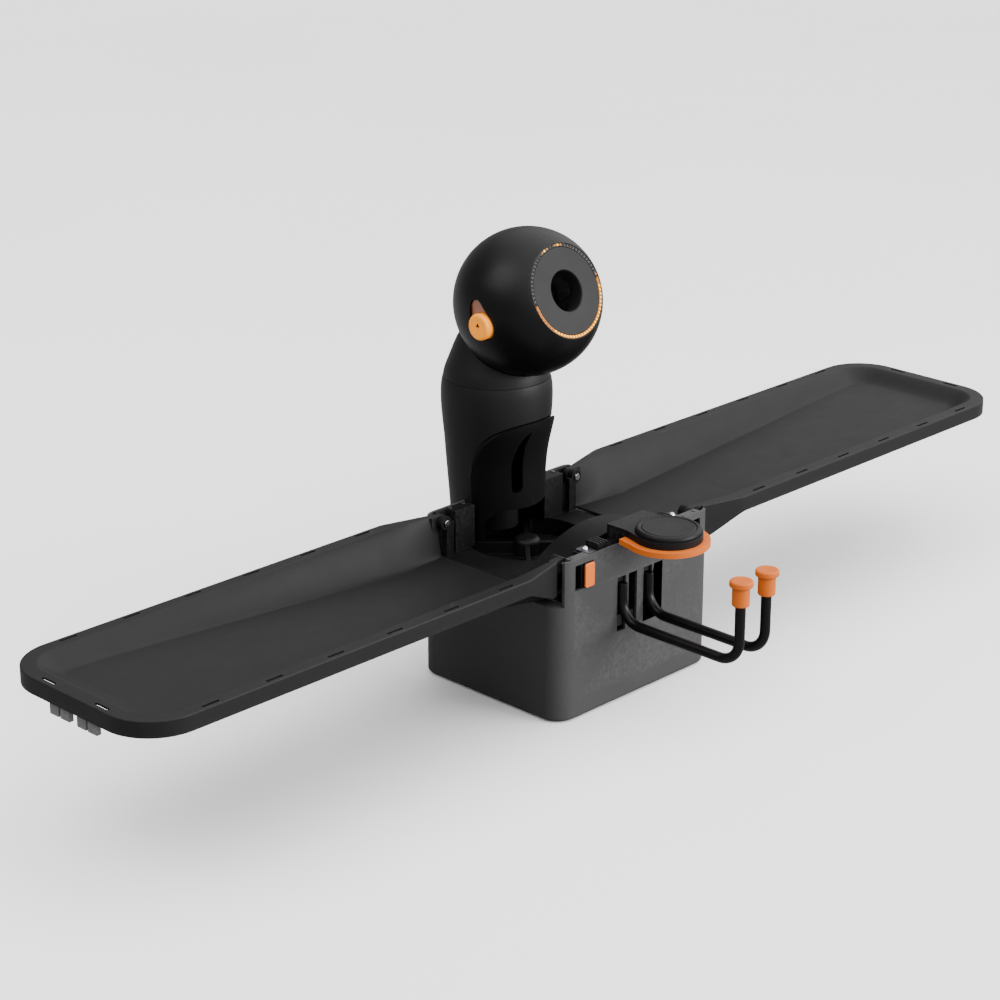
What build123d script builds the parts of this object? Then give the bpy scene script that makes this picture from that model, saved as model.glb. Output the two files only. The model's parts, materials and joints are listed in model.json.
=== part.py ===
"""Table-tennis ball machine: folding catch trays, hopper base, yawing neck and spherical launcher head.

Millimetres, +Z up, origin on the floor under the centre of the base, -Y towards the player.
"""
import math
import os

from build123d import *

os.makedirs("parts", exist_ok=True)

# ---- base housing -------------------------------------------------------------------------------
BASE_W = 246.7
BASE_D = 211.6
BASE_R = 22.0
WALL = 3.0
PAN_Z = 1.5
PAN_TOP = 22.0
SHOULDER_Z = 133.0
RIM_Z = 183.7
SADDLE_HALF = 113.0
DECK_Z = 136.0
DECK_HALF_X = 103.5
DECK_HALF_Y = 102.4

# ---- ball and ball path -------------------------------------------------------------------------
BORE_R = 21.9
TUBE_IN = 22.0
TUBE_OUT = 24.2
WHEEL_Y = 60.0
BOWL_R = 67.5

# ---- column and neck ----------------------------------------------------------------------------
COL_Y = 107.0
SEAM_Z = 317.5
COVER_Y = 94.0

# ---- head ---------------------------------------------------------------------------------------
HEAD_Y = 60.0
HEAD_Z = 409.8
HEAD_R = 81.0
HEAD_WALL = 3.0
FACE_T = 62.0
PITCH = 22.0
RUN = 0.05

# ---- hinges -------------------------------------------------------------------------------------
FOLD_X = 104.0
FOLD_Z = 176.0
FOLD_R = 8.0
PIN_R = 2.5
CLAMP_Y = -92.0
CLAMP_Z = 176.0

# ---- trays --------------------------------------------------------------------------------------
TRAY_END = 671.0
TRAY_FULL = 171.0
TRAY_NEAR = -109.9
TRAY_FAR = 115.4
TRAY_CORNER = 55.0
SKIRT_Z = 166.5
RIM_T = 2.5

# ---- clamp hooks --------------------------------------------------------------------------------
HOOK_SLOTS = (-27.0, -9.2, 14.8, 32.0)
HOOK_X = (-27.0, 14.8)
ROD_R = 5.5
ROD_Y = -107.0
ROD_TIP_Y = -268.0
ROD_TOP_Z = 138.0
ROD_LOW_Z = 93.5
BEND_R = 25.0

BARREL = (0.0, -math.cos(math.radians(PITCH)), math.sin(math.radians(PITCH)))
LIFT = (0.0, math.sin(math.radians(PITCH)), math.cos(math.radians(PITCH)))
FEED = (0.0, 0.412, -0.911)


def head_point(along, up, x=0.0):
    """Point given along the barrel and across it, from the ball-shaped head's centre."""
    y = HEAD_Y + along * BARREL[1] + up * LIFT[1]
    z = HEAD_Z + along * BARREL[2] + up * LIFT[2]
    return (x, y, z)


def side_plane(x):
    """Plane facing +X at the given x: its own x is world Y and its own y is world Z."""
    return Plane(origin=(x, 0, 0), x_dir=(0, 1, 0), z_dir=(1, 0, 0))


def front_plane(y):
    """Plane facing -Y at the given y: its own x is world X and its own y is world Z."""
    return Plane(origin=(0, y, 0), x_dir=(1, 0, 0), z_dir=(0, -1, 0))


# =================================================================================================
# Base: pan, feet, screws
# =================================================================================================
BOSSES = [(sx * 98.0, sy * 80.0) for sx in (-1, 1) for sy in (-1, 1)]

with BuildPart() as bottom_cover:
    with BuildSketch(Plane.XY.offset(PAN_Z)):
        RectangleRounded(BASE_W, BASE_D, BASE_R)
    extrude(amount=PAN_TOP - PAN_Z)
    fillet(bottom_cover.edges().group_by(Axis.Z)[0], radius=4)
    with BuildSketch(Plane.XY.offset(PAN_Z + WALL)):
        RectangleRounded(BASE_W - 2 * WALL, BASE_D - 2 * WALL, BASE_R - WALL)
    extrude(amount=PAN_TOP, mode=Mode.SUBTRACT)
    with BuildSketch(Plane.XY.offset(PAN_Z + WALL)):
        with Locations(*BOSSES):
            Circle(5)
    extrude(amount=12)
    with BuildSketch(Plane.XY.offset(PAN_Z)):
        with Locations(*BOSSES):
            Circle(1.6)
    extrude(amount=15, mode=Mode.SUBTRACT)
    with BuildSketch(Plane.XY.offset(PAN_Z)):
        with Locations(*BOSSES):
            Circle(4)
    extrude(amount=2.0, mode=Mode.SUBTRACT)
    for row in range(5):
        with BuildSketch(Plane.XY.offset(PAN_Z)):
            with Locations((0, -62 + 6 * row), (0, 62 - 6 * row)):
                SlotOverall(60, 2.4)
        extrude(amount=WALL, mode=Mode.SUBTRACT)
bottom_cover.part.label = "bottom_cover"
export_step(bottom_cover.part, "parts/bottom_cover.step")

with BuildPart() as rubber_feet:
    with BuildSketch(Plane.XY):
        with Locations(*[(sx * 99.0, sy * 62.0) for sx in (-1, 1) for sy in (-1, 1)]):
            Circle(9)
        RectangleRounded(70, 44, 8)
    extrude(amount=PAN_Z)
rubber_feet.part.label = "rubber_feet"
export_step(rubber_feet.part, "parts/rubber_feet.step")

with BuildPart() as cover_screws:
    with BuildSketch(Plane.XY.offset(PAN_Z + 0.4)):
        with Locations(*BOSSES):
            Circle(3.4)
    extrude(amount=1.6)
    with BuildSketch(Plane.XY.offset(PAN_Z + 2.0)):
        with Locations(*BOSSES):
            Circle(1.5)
    extrude(amount=12)
    with BuildSketch(Plane.XY.offset(PAN_Z + 0.4)):
        with Locations(*BOSSES):
            RegularPolygon(1.3, 6)
    extrude(amount=0.9, mode=Mode.SUBTRACT)
cover_screws.part.label = "cover_screws"
export_step(cover_screws.part, "parts/cover_screws.step")

# =================================================================================================
# Base: outer shell with saddle walls
# =================================================================================================
with BuildPart() as base_shell:
    with BuildSketch(Plane.XY.offset(PAN_TOP)):
        RectangleRounded(BASE_W, BASE_D, BASE_R)
        RectangleRounded(BASE_W - 2 * WALL, BASE_D - 2 * WALL, BASE_R - WALL, mode=Mode.SUBTRACT)
    extrude(amount=RIM_Z - PAN_TOP)
    for side in (-1, 1):
        with BuildSketch(Plane.XY.offset(SHOULDER_Z)):
            with Locations((side * (SADDLE_HALF + 15), 0)):
                Rectangle(30, BASE_D + 2)
        extrude(amount=RIM_Z, mode=Mode.SUBTRACT)
    with BuildSketch(Plane.XY.offset(SHOULDER_Z - WALL)):
        RectangleRounded(BASE_W - 1, BASE_D - 1, BASE_R - 0.5)
        Rectangle(2 * 96, BASE_D - 2 * WALL, mode=Mode.SUBTRACT)
        with Locations((0, WHEEL_Y)):
            Circle(BOWL_R + 3, mode=Mode.SUBTRACT)
    extrude(amount=WALL)
    for side in (-1, 1):
        with BuildSketch(Plane.XY.offset(180.7)):
            with Locations((side * 90, -98.7)):
                Rectangle(26, 9.4)
        extrude(amount=RIM_Z - 180.7)
    with BuildSketch(front_plane(0)):
        for slot_x in HOOK_SLOTS:
            with Locations((slot_x, 113.5)):
                Rectangle(13.4, 63)
        for side in (-1, 1):
            with Locations((side * 86.5, 163)):
                Rectangle(27.4, 28.4)
    extrude(amount=BASE_D, mode=Mode.SUBTRACT)
    with BuildSketch(Plane.XY.offset(104)):
        with Locations((0, COL_Y)):
            Circle(53.2)
    extrude(amount=66, mode=Mode.SUBTRACT)
    with BuildSketch(Plane.XY.offset(169.5)):
        with Locations((0, COL_Y)):
            Circle(54.8)
    extrude(amount=30, mode=Mode.SUBTRACT)
    with BuildSketch(front_plane(BASE_D / 2 + 2)):
        with Locations((62, 48)):
            Circle(5.4)
    extrude(amount=8, mode=Mode.SUBTRACT)
base_shell.part.label = "base_shell"
export_step(base_shell.part, "parts/base_shell.step")

# =================================================================================================
# Base: hopper deck with saddle hump, clamp pocket and feeder bowl
# =================================================================================================
HUMP_R = 150.0
HUMP_TOP = 183.5
HUMP_BACK = -32.0
POCKET_HALF = 62.0
POCKET_BACK = -72.0
POCKET_FLOOR = 163.0
LUG_NEAR = (-83.5, -76.5)
LUG_FAR = (81.5, 88.5)

with BuildPart() as hopper_deck:
    with BuildSketch(Plane.XY.offset(SHOULDER_Z)):
        Rectangle(2 * DECK_HALF_X, 2 * DECK_HALF_Y)
        with Locations((0, WHEEL_Y)):
            Circle(BOWL_R, mode=Mode.SUBTRACT)
        with Locations((0, -95.9)):
            Rectangle(94.6, 14, mode=Mode.SUBTRACT)
    extrude(amount=DECK_Z - SHOULDER_Z)
    with BuildSketch(front_plane(HUMP_BACK)):
        with Locations((0, HUMP_TOP - HUMP_R)):
            Circle(HUMP_R)
        with Locations((0, HUMP_TOP - HUMP_R)):
            Circle(HUMP_R - 3, mode=Mode.SUBTRACT)
        with Locations((0, 160)):
            Rectangle(2 * DECK_HALF_X, 2 * (160 - DECK_Z), mode=Mode.INTERSECT)
    extrude(amount=DECK_HALF_Y + HUMP_BACK)
    with BuildSketch(front_plane(HUMP_BACK)):
        with Locations((0, HUMP_TOP - HUMP_R)):
            Circle(HUMP_R - 1)
        with Locations((0, 160)):
            Rectangle(2 * DECK_HALF_X, 2 * (160 - DECK_Z), mode=Mode.INTERSECT)
    extrude(amount=3)
    with BuildSketch(front_plane(-95.5)):
        for side in (-1, 1):
            with Locations((side * 86.5, 158)):
                Rectangle(35, 50)
    extrude(amount=20, mode=Mode.SUBTRACT)
    with BuildSketch(Plane.XY.offset(POCKET_FLOOR - 3)):
        with Locations((0, (POCKET_BACK + 2.6 - DECK_HALF_Y) / 2)):
            Rectangle(2 * POCKET_HALF + 5.2, DECK_HALF_Y + POCKET_BACK + 2.6)
    extrude(amount=14)
    with BuildSketch(Plane.XY.offset(POCKET_FLOOR)):
        with Locations((0, (POCKET_BACK - DECK_HALF_Y) / 2)):
            Rectangle(2 * POCKET_HALF, DECK_HALF_Y + POCKET_BACK)
    extrude(amount=30, mode=Mode.SUBTRACT)
    for side in (-1, 1):
        with BuildSketch(Plane.XY.offset(DECK_Z)):
            with Locations((side * 71, 94.2)):
                Rectangle(30, 16.4)
            with Locations((side * 94.7, 100.5)):
                Rectangle(17.6, 3.8)
        extrude(amount=RIM_Z - DECK_Z)
        for span in (LUG_NEAR, LUG_FAR):
            with BuildSketch(front_plane(span[1])):
                with Locations((side * FOLD_X, FOLD_Z)):
                    Circle(FOLD_R)
                with Locations((side * 98.0, (FOLD_Z + DECK_Z) / 2)):
                    Rectangle(11, FOLD_Z - DECK_Z)
            extrude(amount=span[1] - span[0])
            with BuildSketch(front_plane(span[1] + 1)):
                with Locations((side * FOLD_X, FOLD_Z)):
                    Circle(PIN_R + RUN)
            extrude(amount=span[1] - span[0] + 2, mode=Mode.SUBTRACT)
    with BuildSketch(Plane.XY.offset(DECK_Z)):
        with Locations((0, COL_Y)):
            Circle(56.4)
    extrude(amount=60, mode=Mode.SUBTRACT)
    with BuildSketch(Plane.XY.offset(109)):
        with Locations((0, WHEEL_Y)):
            Circle(BOWL_R + 2.6)
        with Locations((0, WHEEL_Y)):
            Circle(BOWL_R, mode=Mode.SUBTRACT)
        with Locations((0, DECK_HALF_Y - 100)):
            Rectangle(300, 200, mode=Mode.INTERSECT)
    extrude(amount=DECK_Z - 109)
    with BuildSketch(Plane.XY.offset(109)):
        with Locations((0, WHEEL_Y)):
            Circle(BOWL_R + 1)
        with Locations((0, DECK_HALF_Y - 100)):
            Rectangle(300, 200, mode=Mode.INTERSECT)
        with Locations((0, WHEEL_Y)):
            Circle(4 + RUN, mode=Mode.SUBTRACT)
    extrude(amount=3)
hopper_deck.part.label = "hopper_deck"
export_step(hopper_deck.part, "parts/hopper_deck.step")

with BuildPart() as hinge_pins:
    for side in (-1, 1):
        for inner, outer in ((LUG_NEAR[1] + 1.9, -91.2), (LUG_FAR[0] - 1.9, 96.2)):
            way = 1 if outer > inner else -1
            shank = Plane(origin=(side * FOLD_X, inner, FOLD_Z), x_dir=(1, 0, 0), z_dir=(0, way, 0))
            with BuildSketch(shank):
                Circle(PIN_R)
            extrude(amount=abs(outer - inner))
            with BuildSketch(shank):
                Circle(3.75)
            extrude(amount=1.7)
hinge_pins.part.label = "hinge_pins"
export_step(hinge_pins.part, "parts/hinge_pins.step")

with BuildPart() as deck_screws:
    for side in (-1, 1):
        with BuildSketch(Plane.XY.offset(RIM_Z)):
            with Locations((side * 98, -98.2), (side * 82, 98.2), (side * 62, 98.2)):
                Circle(2.4)
        extrude(amount=0.9)
deck_screws.part.label = "deck_screws"
export_step(deck_screws.part, "parts/deck_screws.step")

# =================================================================================================
# Base: latch housings, hook guides and clamp fittings
# =================================================================================================
with BuildPart() as latch_housings:
    for side in (-1, 1):
        with BuildSketch(front_plane(-95.8)):
            with Locations((side * 86.5, 163)):
                Rectangle(29.4, 34)
        extrude(amount=7.0)
        with BuildSketch(front_plane(-97.3)):
            with Locations((side * 86.5, 163)):
                Rectangle(26.8, 28.4)
        extrude(amount=8, mode=Mode.SUBTRACT)
        with BuildSketch(front_plane(-97.3)):
            with Locations((side * 89.1, 163)):
                Rectangle(1.2, 28.4)
        extrude(amount=7.4)
latch_housings.part.label = "latch_housings"
export_step(latch_housings.part, "parts/latch_housings.step")

with BuildPart() as hook_guides:
    with BuildSketch(front_plane(-89.4)):
        with Locations((0, 117.9)):
            Rectangle(92, 84)
    extrude(amount=13.4)
    with BuildSketch(front_plane(-91.6)):
        for slot_x in HOOK_SLOTS:
            with Locations((slot_x, 119)):
                Rectangle(14.4, 78)
    extrude(amount=14, mode=Mode.SUBTRACT)
hook_guides.part.label = "hook_guides"
export_step(hook_guides.part, "parts/hook_guides.step")

with BuildPart() as slot_blocks:
    with BuildSketch(front_plane(-91.6)):
        for slot_x in HOOK_SLOTS:
            with Locations((slot_x, 92.5)):
                Rectangle(12.4, 13)
    extrude(amount=10.4)
slot_blocks.part.label = "slot_blocks"
export_step(slot_blocks.part, "parts/slot_blocks.step")

with BuildPart() as clamp_blocks:
    for side in (-1, 1):
        with BuildSketch(side_plane(side * 52.5 - 7.5)):
            with Locations((CLAMP_Y, 176.5)):
                RectangleRounded(18, 27, 2)
        extrude(amount=15)
        for rib in range(3):
            with BuildSketch(Plane.XY.offset(188)):
                with Locations((side * (48.5 + 4 * rib), CLAMP_Y)):
                    Rectangle(1.6, 20)
            extrude(amount=4, mode=Mode.SUBTRACT)
        with BuildSketch(side_plane(side * 52.5 - 8)):
            with Locations((CLAMP_Y, CLAMP_Z)):
                Circle(3 + RUN)
        extrude(amount=16, mode=Mode.SUBTRACT)
clamp_blocks.part.label = "clamp_blocks"
export_step(clamp_blocks.part, "parts/clamp_blocks.step")

with BuildPart() as clamp_pin:
    with BuildSketch(side_plane(-60.5)):
        with Locations((CLAMP_Y, CLAMP_Z)):
            Circle(3)
    extrude(amount=121)
clamp_pin.part.label = "clamp_pin"
export_step(clamp_pin.part, "parts/clamp_pin.step")

with BuildPart() as clamp_brackets:
    for side in (-1, 1):
        with BuildSketch(Plane.XY.offset(181.0)):
            with Locations((side * 69.4, -92)):
                RectangleRounded(13.6, 19, 2)
        extrude(amount=3)
        with BuildSketch(Plane.XY.offset(170)):
            with Locations((side * 66.9, -88)):
                Rectangle(4, 10)
        extrude(amount=11)
clamp_brackets.part.label = "clamp_brackets"
export_step(clamp_brackets.part, "parts/clamp_brackets.step")

with BuildPart() as dome_screws:
    for side in (-1, 1):
        with Locations((side * 69.8, -91, 184)):
            Sphere(3.75, arc_size1=0, align=(Align.CENTER, Align.CENTER, Align.MIN))
dome_screws.part.label = "dome_screws"
export_step(dome_screws.part, "parts/dome_screws.step")

# =================================================================================================
# Base: insides
# =================================================================================================
with BuildPart() as feeder_motor:
    with BuildSketch(Plane.XY.offset(106)):
        with Locations((0, WHEEL_Y)):
            RectangleRounded(56, 44, 6)
    extrude(amount=3)
    with BuildSketch(Plane.XY.offset(84)):
        with Locations((0, WHEEL_Y)):
            Circle(19)
    extrude(amount=22)
    with BuildSketch(Plane.XY.offset(50)):
        with Locations((0, WHEEL_Y)):
            Circle(15)
    extrude(amount=34)
    with BuildSketch(Plane.XY.offset(91)):
        with Locations((0, WHEEL_Y)):
            Circle(4 + RUN)
    extrude(amount=20, mode=Mode.SUBTRACT)
feeder_motor.part.label = "feeder_motor"
export_step(feeder_motor.part, "parts/feeder_motor.step")

with BuildPart() as battery_pack:
    with BuildSketch(Plane.XY.offset(PAN_Z + WALL)):
        with Locations((-35, -30)):
            RectangleRounded(100, 64, 4)
    extrude(amount=42)
    fillet(battery_pack.edges().group_by(Axis.Z)[-1], radius=3)
battery_pack.part.label = "battery_pack"
export_step(battery_pack.part, "parts/battery_pack.step")

with BuildPart() as control_board:
    with BuildSketch(Plane.XY.offset(11)):
        with Locations((64, -28)):
            RectangleRounded(64, 92, 3)
    extrude(amount=1.6)
    for post_x in (38, 90):
        for post_y in (-68, 12):
            with BuildSketch(Plane.XY.offset(PAN_Z + WALL)):
                with Locations((post_x, post_y)):
                    Circle(3)
            extrude(amount=11 - PAN_Z - WALL)
    for chip_x, chip_y, chip_w, chip_d, chip_h in (
        (56, -40, 14, 14, 2.0),
        (80, -50, 8, 16, 9.0),
        (48, -8, 10, 10, 12.0),
        (78, -10, 18, 8, 6.0),
    ):
        with BuildSketch(Plane.XY.offset(12.6)):
            with Locations((chip_x, chip_y)):
                Rectangle(chip_w, chip_d)
        extrude(amount=chip_h)
control_board.part.label = "control_board"
export_step(control_board.part, "parts/control_board.step")

with BuildPart() as charge_socket:
    with BuildSketch(front_plane(109.0)):
        with Locations((62, 48)):
            RectangleRounded(18, 18, 4)
    extrude(amount=3.0)
    with BuildSketch(front_plane(106.0)):
        with Locations((62, 48)):
            Circle(5.1)
    extrude(amount=18)
    with BuildSketch(front_plane(109.5)):
        with Locations((62, 48)):
            Circle(3.2)
        with Locations((62, 48)):
            Circle(1.0, mode=Mode.SUBTRACT)
    extrude(amount=10, mode=Mode.SUBTRACT)
charge_socket.part.label = "charge_socket"
export_step(charge_socket.part, "parts/charge_socket.step")

# =================================================================================================
# Feeder wheel
# =================================================================================================
with BuildPart() as feeder_wheel:
    with BuildSketch(Plane.XY.offset(115)):
        with Locations((0, WHEEL_Y)):
            Circle(62)
    extrude(amount=3)
    with BuildSketch(Plane.XY.offset(118)):
        with Locations((0, WHEEL_Y)):
            Circle(15)
    extrude(amount=20)
    fillet(feeder_wheel.edges().group_by(Axis.Z)[-1], radius=6)
    for quarter in range(4):
        with BuildSketch(Plane.XY.offset(118)):
            with Locations(Location((0, WHEEL_Y, 0), (0, 0, 45 + 90 * quarter))):
                with Locations((36, 0)):
                    RectangleRounded(48, 5, 2)
        extrude(amount=14)
    with BuildSketch(Plane.XY.offset(92)):
        with Locations((0, WHEEL_Y)):
            Circle(4)
    extrude(amount=24)
feeder_wheel.part.label = "feeder_wheel"
export_step(feeder_wheel.part, "parts/feeder_wheel.step")

# =================================================================================================
# Column: rear shell, front cover, inner ball tube, yaw bearing and motor
# =================================================================================================
COL_OUT = [
    (52.5, 104.0),
    (52.5, 168.0),
    (54.5, 195.0),
    (56.6, 221.0),
    (58.5, 248.0),
    (61.5, 280.0),
    (62.0, 300.0),
    (60.5, 314.0),
    (59.6, 317.2),
]
COVER_OUT = [(53.2, 138.0), (53.6, 175.0), (54.5, 198.0), (56.0, 223.0), (60.0, 248.0), (64.0, 267.0), (65.2, 279.0)]
COL_AXIS = Plane(origin=(0, COL_Y, 0), x_dir=(1, 0, 0), z_dir=(0, -1, 0))


def ring_section(outer, thick, tail):
    """Close an outer wall line with its inward copy, and draw it as a face."""
    inner = [(r - thick, z) for r, z in outer]
    with BuildSketch(Plane.XY) as area:
        with BuildLine():
            Spline(*outer[tail:])
            if tail:
                Line(outer[0], outer[tail])
            Line(outer[-1], inner[-1])
            Spline(*inner[tail:])
            if tail:
                Line(inner[0], inner[tail])
            Line(inner[0], outer[0])
        make_face()
    return area.sketch


ARCH_SIDE = [(54.2, 214.0), (54.3, 222.0), (54.4, 232.0), (53.9, 243.0), (51.5, 256.3), (45.2, 266.5), (32.9, 273.2)]
ARCH_TOP = ARCH_SIDE + [(0.0, 276.8)] + [(-x, z) for x, z in reversed(ARCH_SIDE)]


def arch_region(grow):
    """Area under the cover's arched top edge, in the front plane."""
    with BuildSketch(Plane.XY) as area:
        with BuildLine():
            Line((-80, 90), (80, 90))
            Line((80, 90), (80, 214 + grow))
            Line((80, 214 + grow), (ARCH_TOP[0][0] + grow, 214 + grow))
            Spline(*[(x + (grow if x > 0 else -grow if x < 0 else 0), z + grow) for x, z in ARCH_TOP])
            Line((-ARCH_TOP[0][0] - grow, 214 + grow), (-80, 214 + grow))
            Line((-80, 214 + grow), (-80, 90))
        make_face()
    return area.sketch


COL_SECTION = ring_section(COL_OUT, 2.6, 1)
COVER_SECTION = ring_section(COVER_OUT, 2.4, 0)
ARCH = arch_region(0)
ARCH_CLEAR = arch_region(0.3)

with BuildPart() as column_shell:
    with BuildSketch(COL_AXIS):
        add(COL_SECTION)
    revolve(axis=Axis((0, COL_Y, 0), (0, 0, 1)))
    with BuildSketch(Plane.XY.offset(309)):
        with Locations((0, COL_Y)):
            Circle(58.6)
            Circle(53.5, mode=Mode.SUBTRACT)
    extrude(amount=3)
    with BuildSketch(front_plane(COVER_Y + 0.3)):
        add(ARCH_CLEAR)
    extrude(amount=120, mode=Mode.SUBTRACT)
    with BuildSketch(front_plane(DECK_HALF_Y + 0.8)):
        with Locations((0, 119)):
            Rectangle(140, 34)
    extrude(amount=80, mode=Mode.SUBTRACT)
    with BuildSketch(Plane.XY.offset(104)):
        with Locations((0, COL_Y)):
            Circle(51.5)
        with Locations((0, 153.3)):
            Rectangle(140, 100, mode=Mode.INTERSECT)
    extrude(amount=2.6)
column_shell.part.label = "column_shell"
export_step(column_shell.part, "parts/column_shell.step")

with BuildPart() as column_cover:
    with BuildSketch(COL_AXIS):
        add(COVER_SECTION)
    revolve(axis=Axis((0, COL_Y, 0), (0, 0, 1)))
    with BuildSketch(front_plane(COVER_Y - 0.3)):
        add(ARCH)
    extrude(amount=120, mode=Mode.INTERSECT)
    with BuildSketch(front_plane(COVER_Y)):
        with BuildLine():
            ThreePointArc((-13.0, 201.5), (-19.3, 195.2), (-25.6, 201.5))
            Spline((-25.6, 201.5), (-26.9, 219.0), (-27.1, 231.0), (-25.1, 244.7), (-20.6, 257.0), (-8.2, 267.2))
            Spline((-8.2, 267.2), (-12.0, 259.5), (-14.4, 250.0), (-15.1, 240.0), (-14.3, 222.0), (-13.0, 201.5))
        make_face()
    extrude(amount=90, mode=Mode.SUBTRACT)
    with BuildSketch(front_plane(COVER_Y)):
        with Locations((0, 145)):
            RectangleRounded(92, 62, 18)
    extrude(amount=90, mode=Mode.SUBTRACT)
column_cover.part.label = "column_cover"
export_step(column_cover.part, "parts/column_cover.step")

with BuildPart() as ball_tube:
    with BuildSketch(Plane.XY.offset(142)):
        with Locations((0, COL_Y)):
            Circle(TUBE_OUT)
            Circle(TUBE_IN, mode=Mode.SUBTRACT)
    extrude(amount=174)
    with BuildSketch(Plane.XY.offset(180)):
        with Locations((0, COL_Y + 37.3)):
            Rectangle(3, 26.8)
    extrude(amount=4)
ball_tube.part.label = "ball_tube"
export_step(ball_tube.part, "parts/ball_tube.step")

with BuildPart() as yaw_bearing:
    with BuildSketch(Plane.XY.offset(301)):
        with Locations((0, COL_Y)):
            Circle(34)
            Circle(30, mode=Mode.SUBTRACT)
    extrude(amount=15)
    with BuildSketch(Plane.XY.offset(312)):
        with Locations((0, COL_Y)):
            Circle(57.0)
            Circle(33, mode=Mode.SUBTRACT)
    extrude(amount=3)
yaw_bearing.part.label = "yaw_bearing"
export_step(yaw_bearing.part, "parts/yaw_bearing.step")

with BuildPart() as yaw_motor:
    with BuildSketch(Plane.XY.offset(262)):
        with Locations((0, COL_Y + 44)):
            RectangleRounded(30, 16, 3)
    extrude(amount=44)
    with BuildSketch(Plane.XY.offset(306)):
        with Locations((0, COL_Y + 44)):
            RectangleRounded(34, 14, 3)
    extrude(amount=6)
yaw_motor.part.label = "yaw_motor"
export_step(yaw_motor.part, "parts/yaw_motor.step")

# =================================================================================================
# Neck: cradle, yoke, upper feed tube and pitch servo
# =================================================================================================
NECK_OUT = [(59.4, 317.8), (57.6, 326.0), (53.4, 337.0), (48.0, 351.0), (42.0, 363.5), (30.0, 377.0), (12.0, 386.0)]


def dome_section(inset):
    """Half section of the neck dome, shrunk by the inset."""
    outer = [(r - inset, z - (inset if z > 360 else 0)) for r, z in NECK_OUT]
    with BuildSketch(Plane.XY) as area:
        with BuildLine():
            Spline(*outer)
            Line(outer[-1], (0, outer[-1][1]))
            Line((0, outer[-1][1]), (0, outer[0][1]))
            Line((0, outer[0][1]), outer[0])
        make_face()
    return area.sketch


DOME_INNER = dome_section(3.0)
DOME_OUTER = dome_section(0)

with BuildPart() as neck_core:
    with BuildSketch(COL_AXIS):
        add(DOME_INNER)
    revolve(axis=Axis((0, COL_Y, 0), (0, 0, 1)))
    with Locations((0, HEAD_Y, HEAD_Z)):
        Sphere(HEAD_R + 4.2, mode=Mode.SUBTRACT)

with BuildPart() as neck_cradle:
    with BuildSketch(COL_AXIS):
        add(DOME_OUTER)
    revolve(axis=Axis((0, COL_Y, 0), (0, 0, 1)))
    with Locations((0, HEAD_Y, HEAD_Z)):
        Sphere(HEAD_R + 1.2, mode=Mode.SUBTRACT)
    add(neck_core.part, mode=Mode.SUBTRACT)
    with BuildSketch(Plane.XY.offset(322)):
        with Locations((0, COL_Y)):
            Circle(56.0)
            Circle(51.0, mode=Mode.SUBTRACT)
    extrude(amount=2)
    with Locations((0, HEAD_Y, HEAD_Z)):
        Sphere(HEAD_R + 1.2, mode=Mode.SUBTRACT)
    with BuildSketch(Plane.XY.offset(316)):
        with Locations((0, 97)):
            Rectangle(66.4, 62)
    extrude(amount=60, mode=Mode.SUBTRACT)
neck_cradle.part.label = "neck_cradle"
export_step(neck_cradle.part, "parts/neck_cradle.step")

with BuildPart() as yoke:
    with BuildSketch(Plane.XY.offset(319)):
        with Locations((0, COL_Y)):
            Circle(55.2)
    extrude(amount=3)
    with BuildSketch(side_plane(-31.0)):
        with BuildLine():
            Polyline((54.0, 406.0), (66.0, 411.0), (112.5, 320.5), (91.5, 320.5), close=True)
        make_face()
        with Locations((HEAD_Y, HEAD_Z)):
            Circle(11)
    extrude(amount=62)
    with BuildSketch(Plane.XY.offset(322)):
        with Locations((0, 85)):
            Rectangle(54, 90)
    extrude(amount=110, mode=Mode.SUBTRACT)
    with BuildSketch(Plane.XY.offset(299)):
        with Locations((0, COL_Y)):
            Circle(30.0 - RUN)
    extrude(amount=20)
    with BuildSketch(Plane.XY.offset(299)):
        with Locations((0, COL_Y)):
            Circle(25.0)
    extrude(amount=23, mode=Mode.SUBTRACT)
    with BuildSketch(Plane.XY.offset(319)):
        with Locations((0, COL_Y - 7)):
            Circle(24.0)
    extrude(amount=3, mode=Mode.SUBTRACT)
    with BuildSketch(side_plane(-40)):
        with Locations((HEAD_Y, HEAD_Z)):
            Circle(5 + RUN)
    extrude(amount=80, mode=Mode.SUBTRACT)
yoke.part.label = "yoke"
export_step(yoke.part, "parts/yoke.step")

FEED_TOP = Plane(
    origin=(0, HEAD_Y + 46 * FEED[1], HEAD_Z + 46 * FEED[2]),
    x_dir=(1, 0, 0),
    z_dir=FEED,
)
with BuildPart() as feed_tube:
    with BuildSketch(FEED_TOP):
        Circle(TUBE_OUT)
        Circle(TUBE_IN, mode=Mode.SUBTRACT)
    extrude(amount=38)
    with BuildSketch(side_plane(-27)):
        with Locations((86, 355)):
            Circle(6)
    extrude(amount=54)
    with BuildSketch(FEED_TOP):
        Circle(TUBE_IN)
    extrude(amount=60, mode=Mode.SUBTRACT)
feed_tube.part.label = "feed_tube"
export_step(feed_tube.part, "parts/feed_tube.step")

with BuildPart() as pitch_servo:
    with BuildSketch(Plane.XY.offset(322)):
        with Locations((0, 141)):
            RectangleRounded(40, 14, 2)
    extrude(amount=20)
    with BuildSketch(Plane.XY.offset(342)):
        with Locations((9, 140)):
            Circle(4)
    extrude(amount=4)
pitch_servo.part.label = "pitch_servo"
export_step(pitch_servo.part, "parts/pitch_servo.step")

# =================================================================================================
# Head: shell halves, muzzle, light ring, side lamps
# =================================================================================================
FACE = Plane(origin=head_point(FACE_T, 0), x_dir=(1, 0, 0), z_dir=BARREL)
CHIN = Plane(origin=head_point(0, 0), x_dir=(1, 0, 0), z_dir=BARREL)


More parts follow.
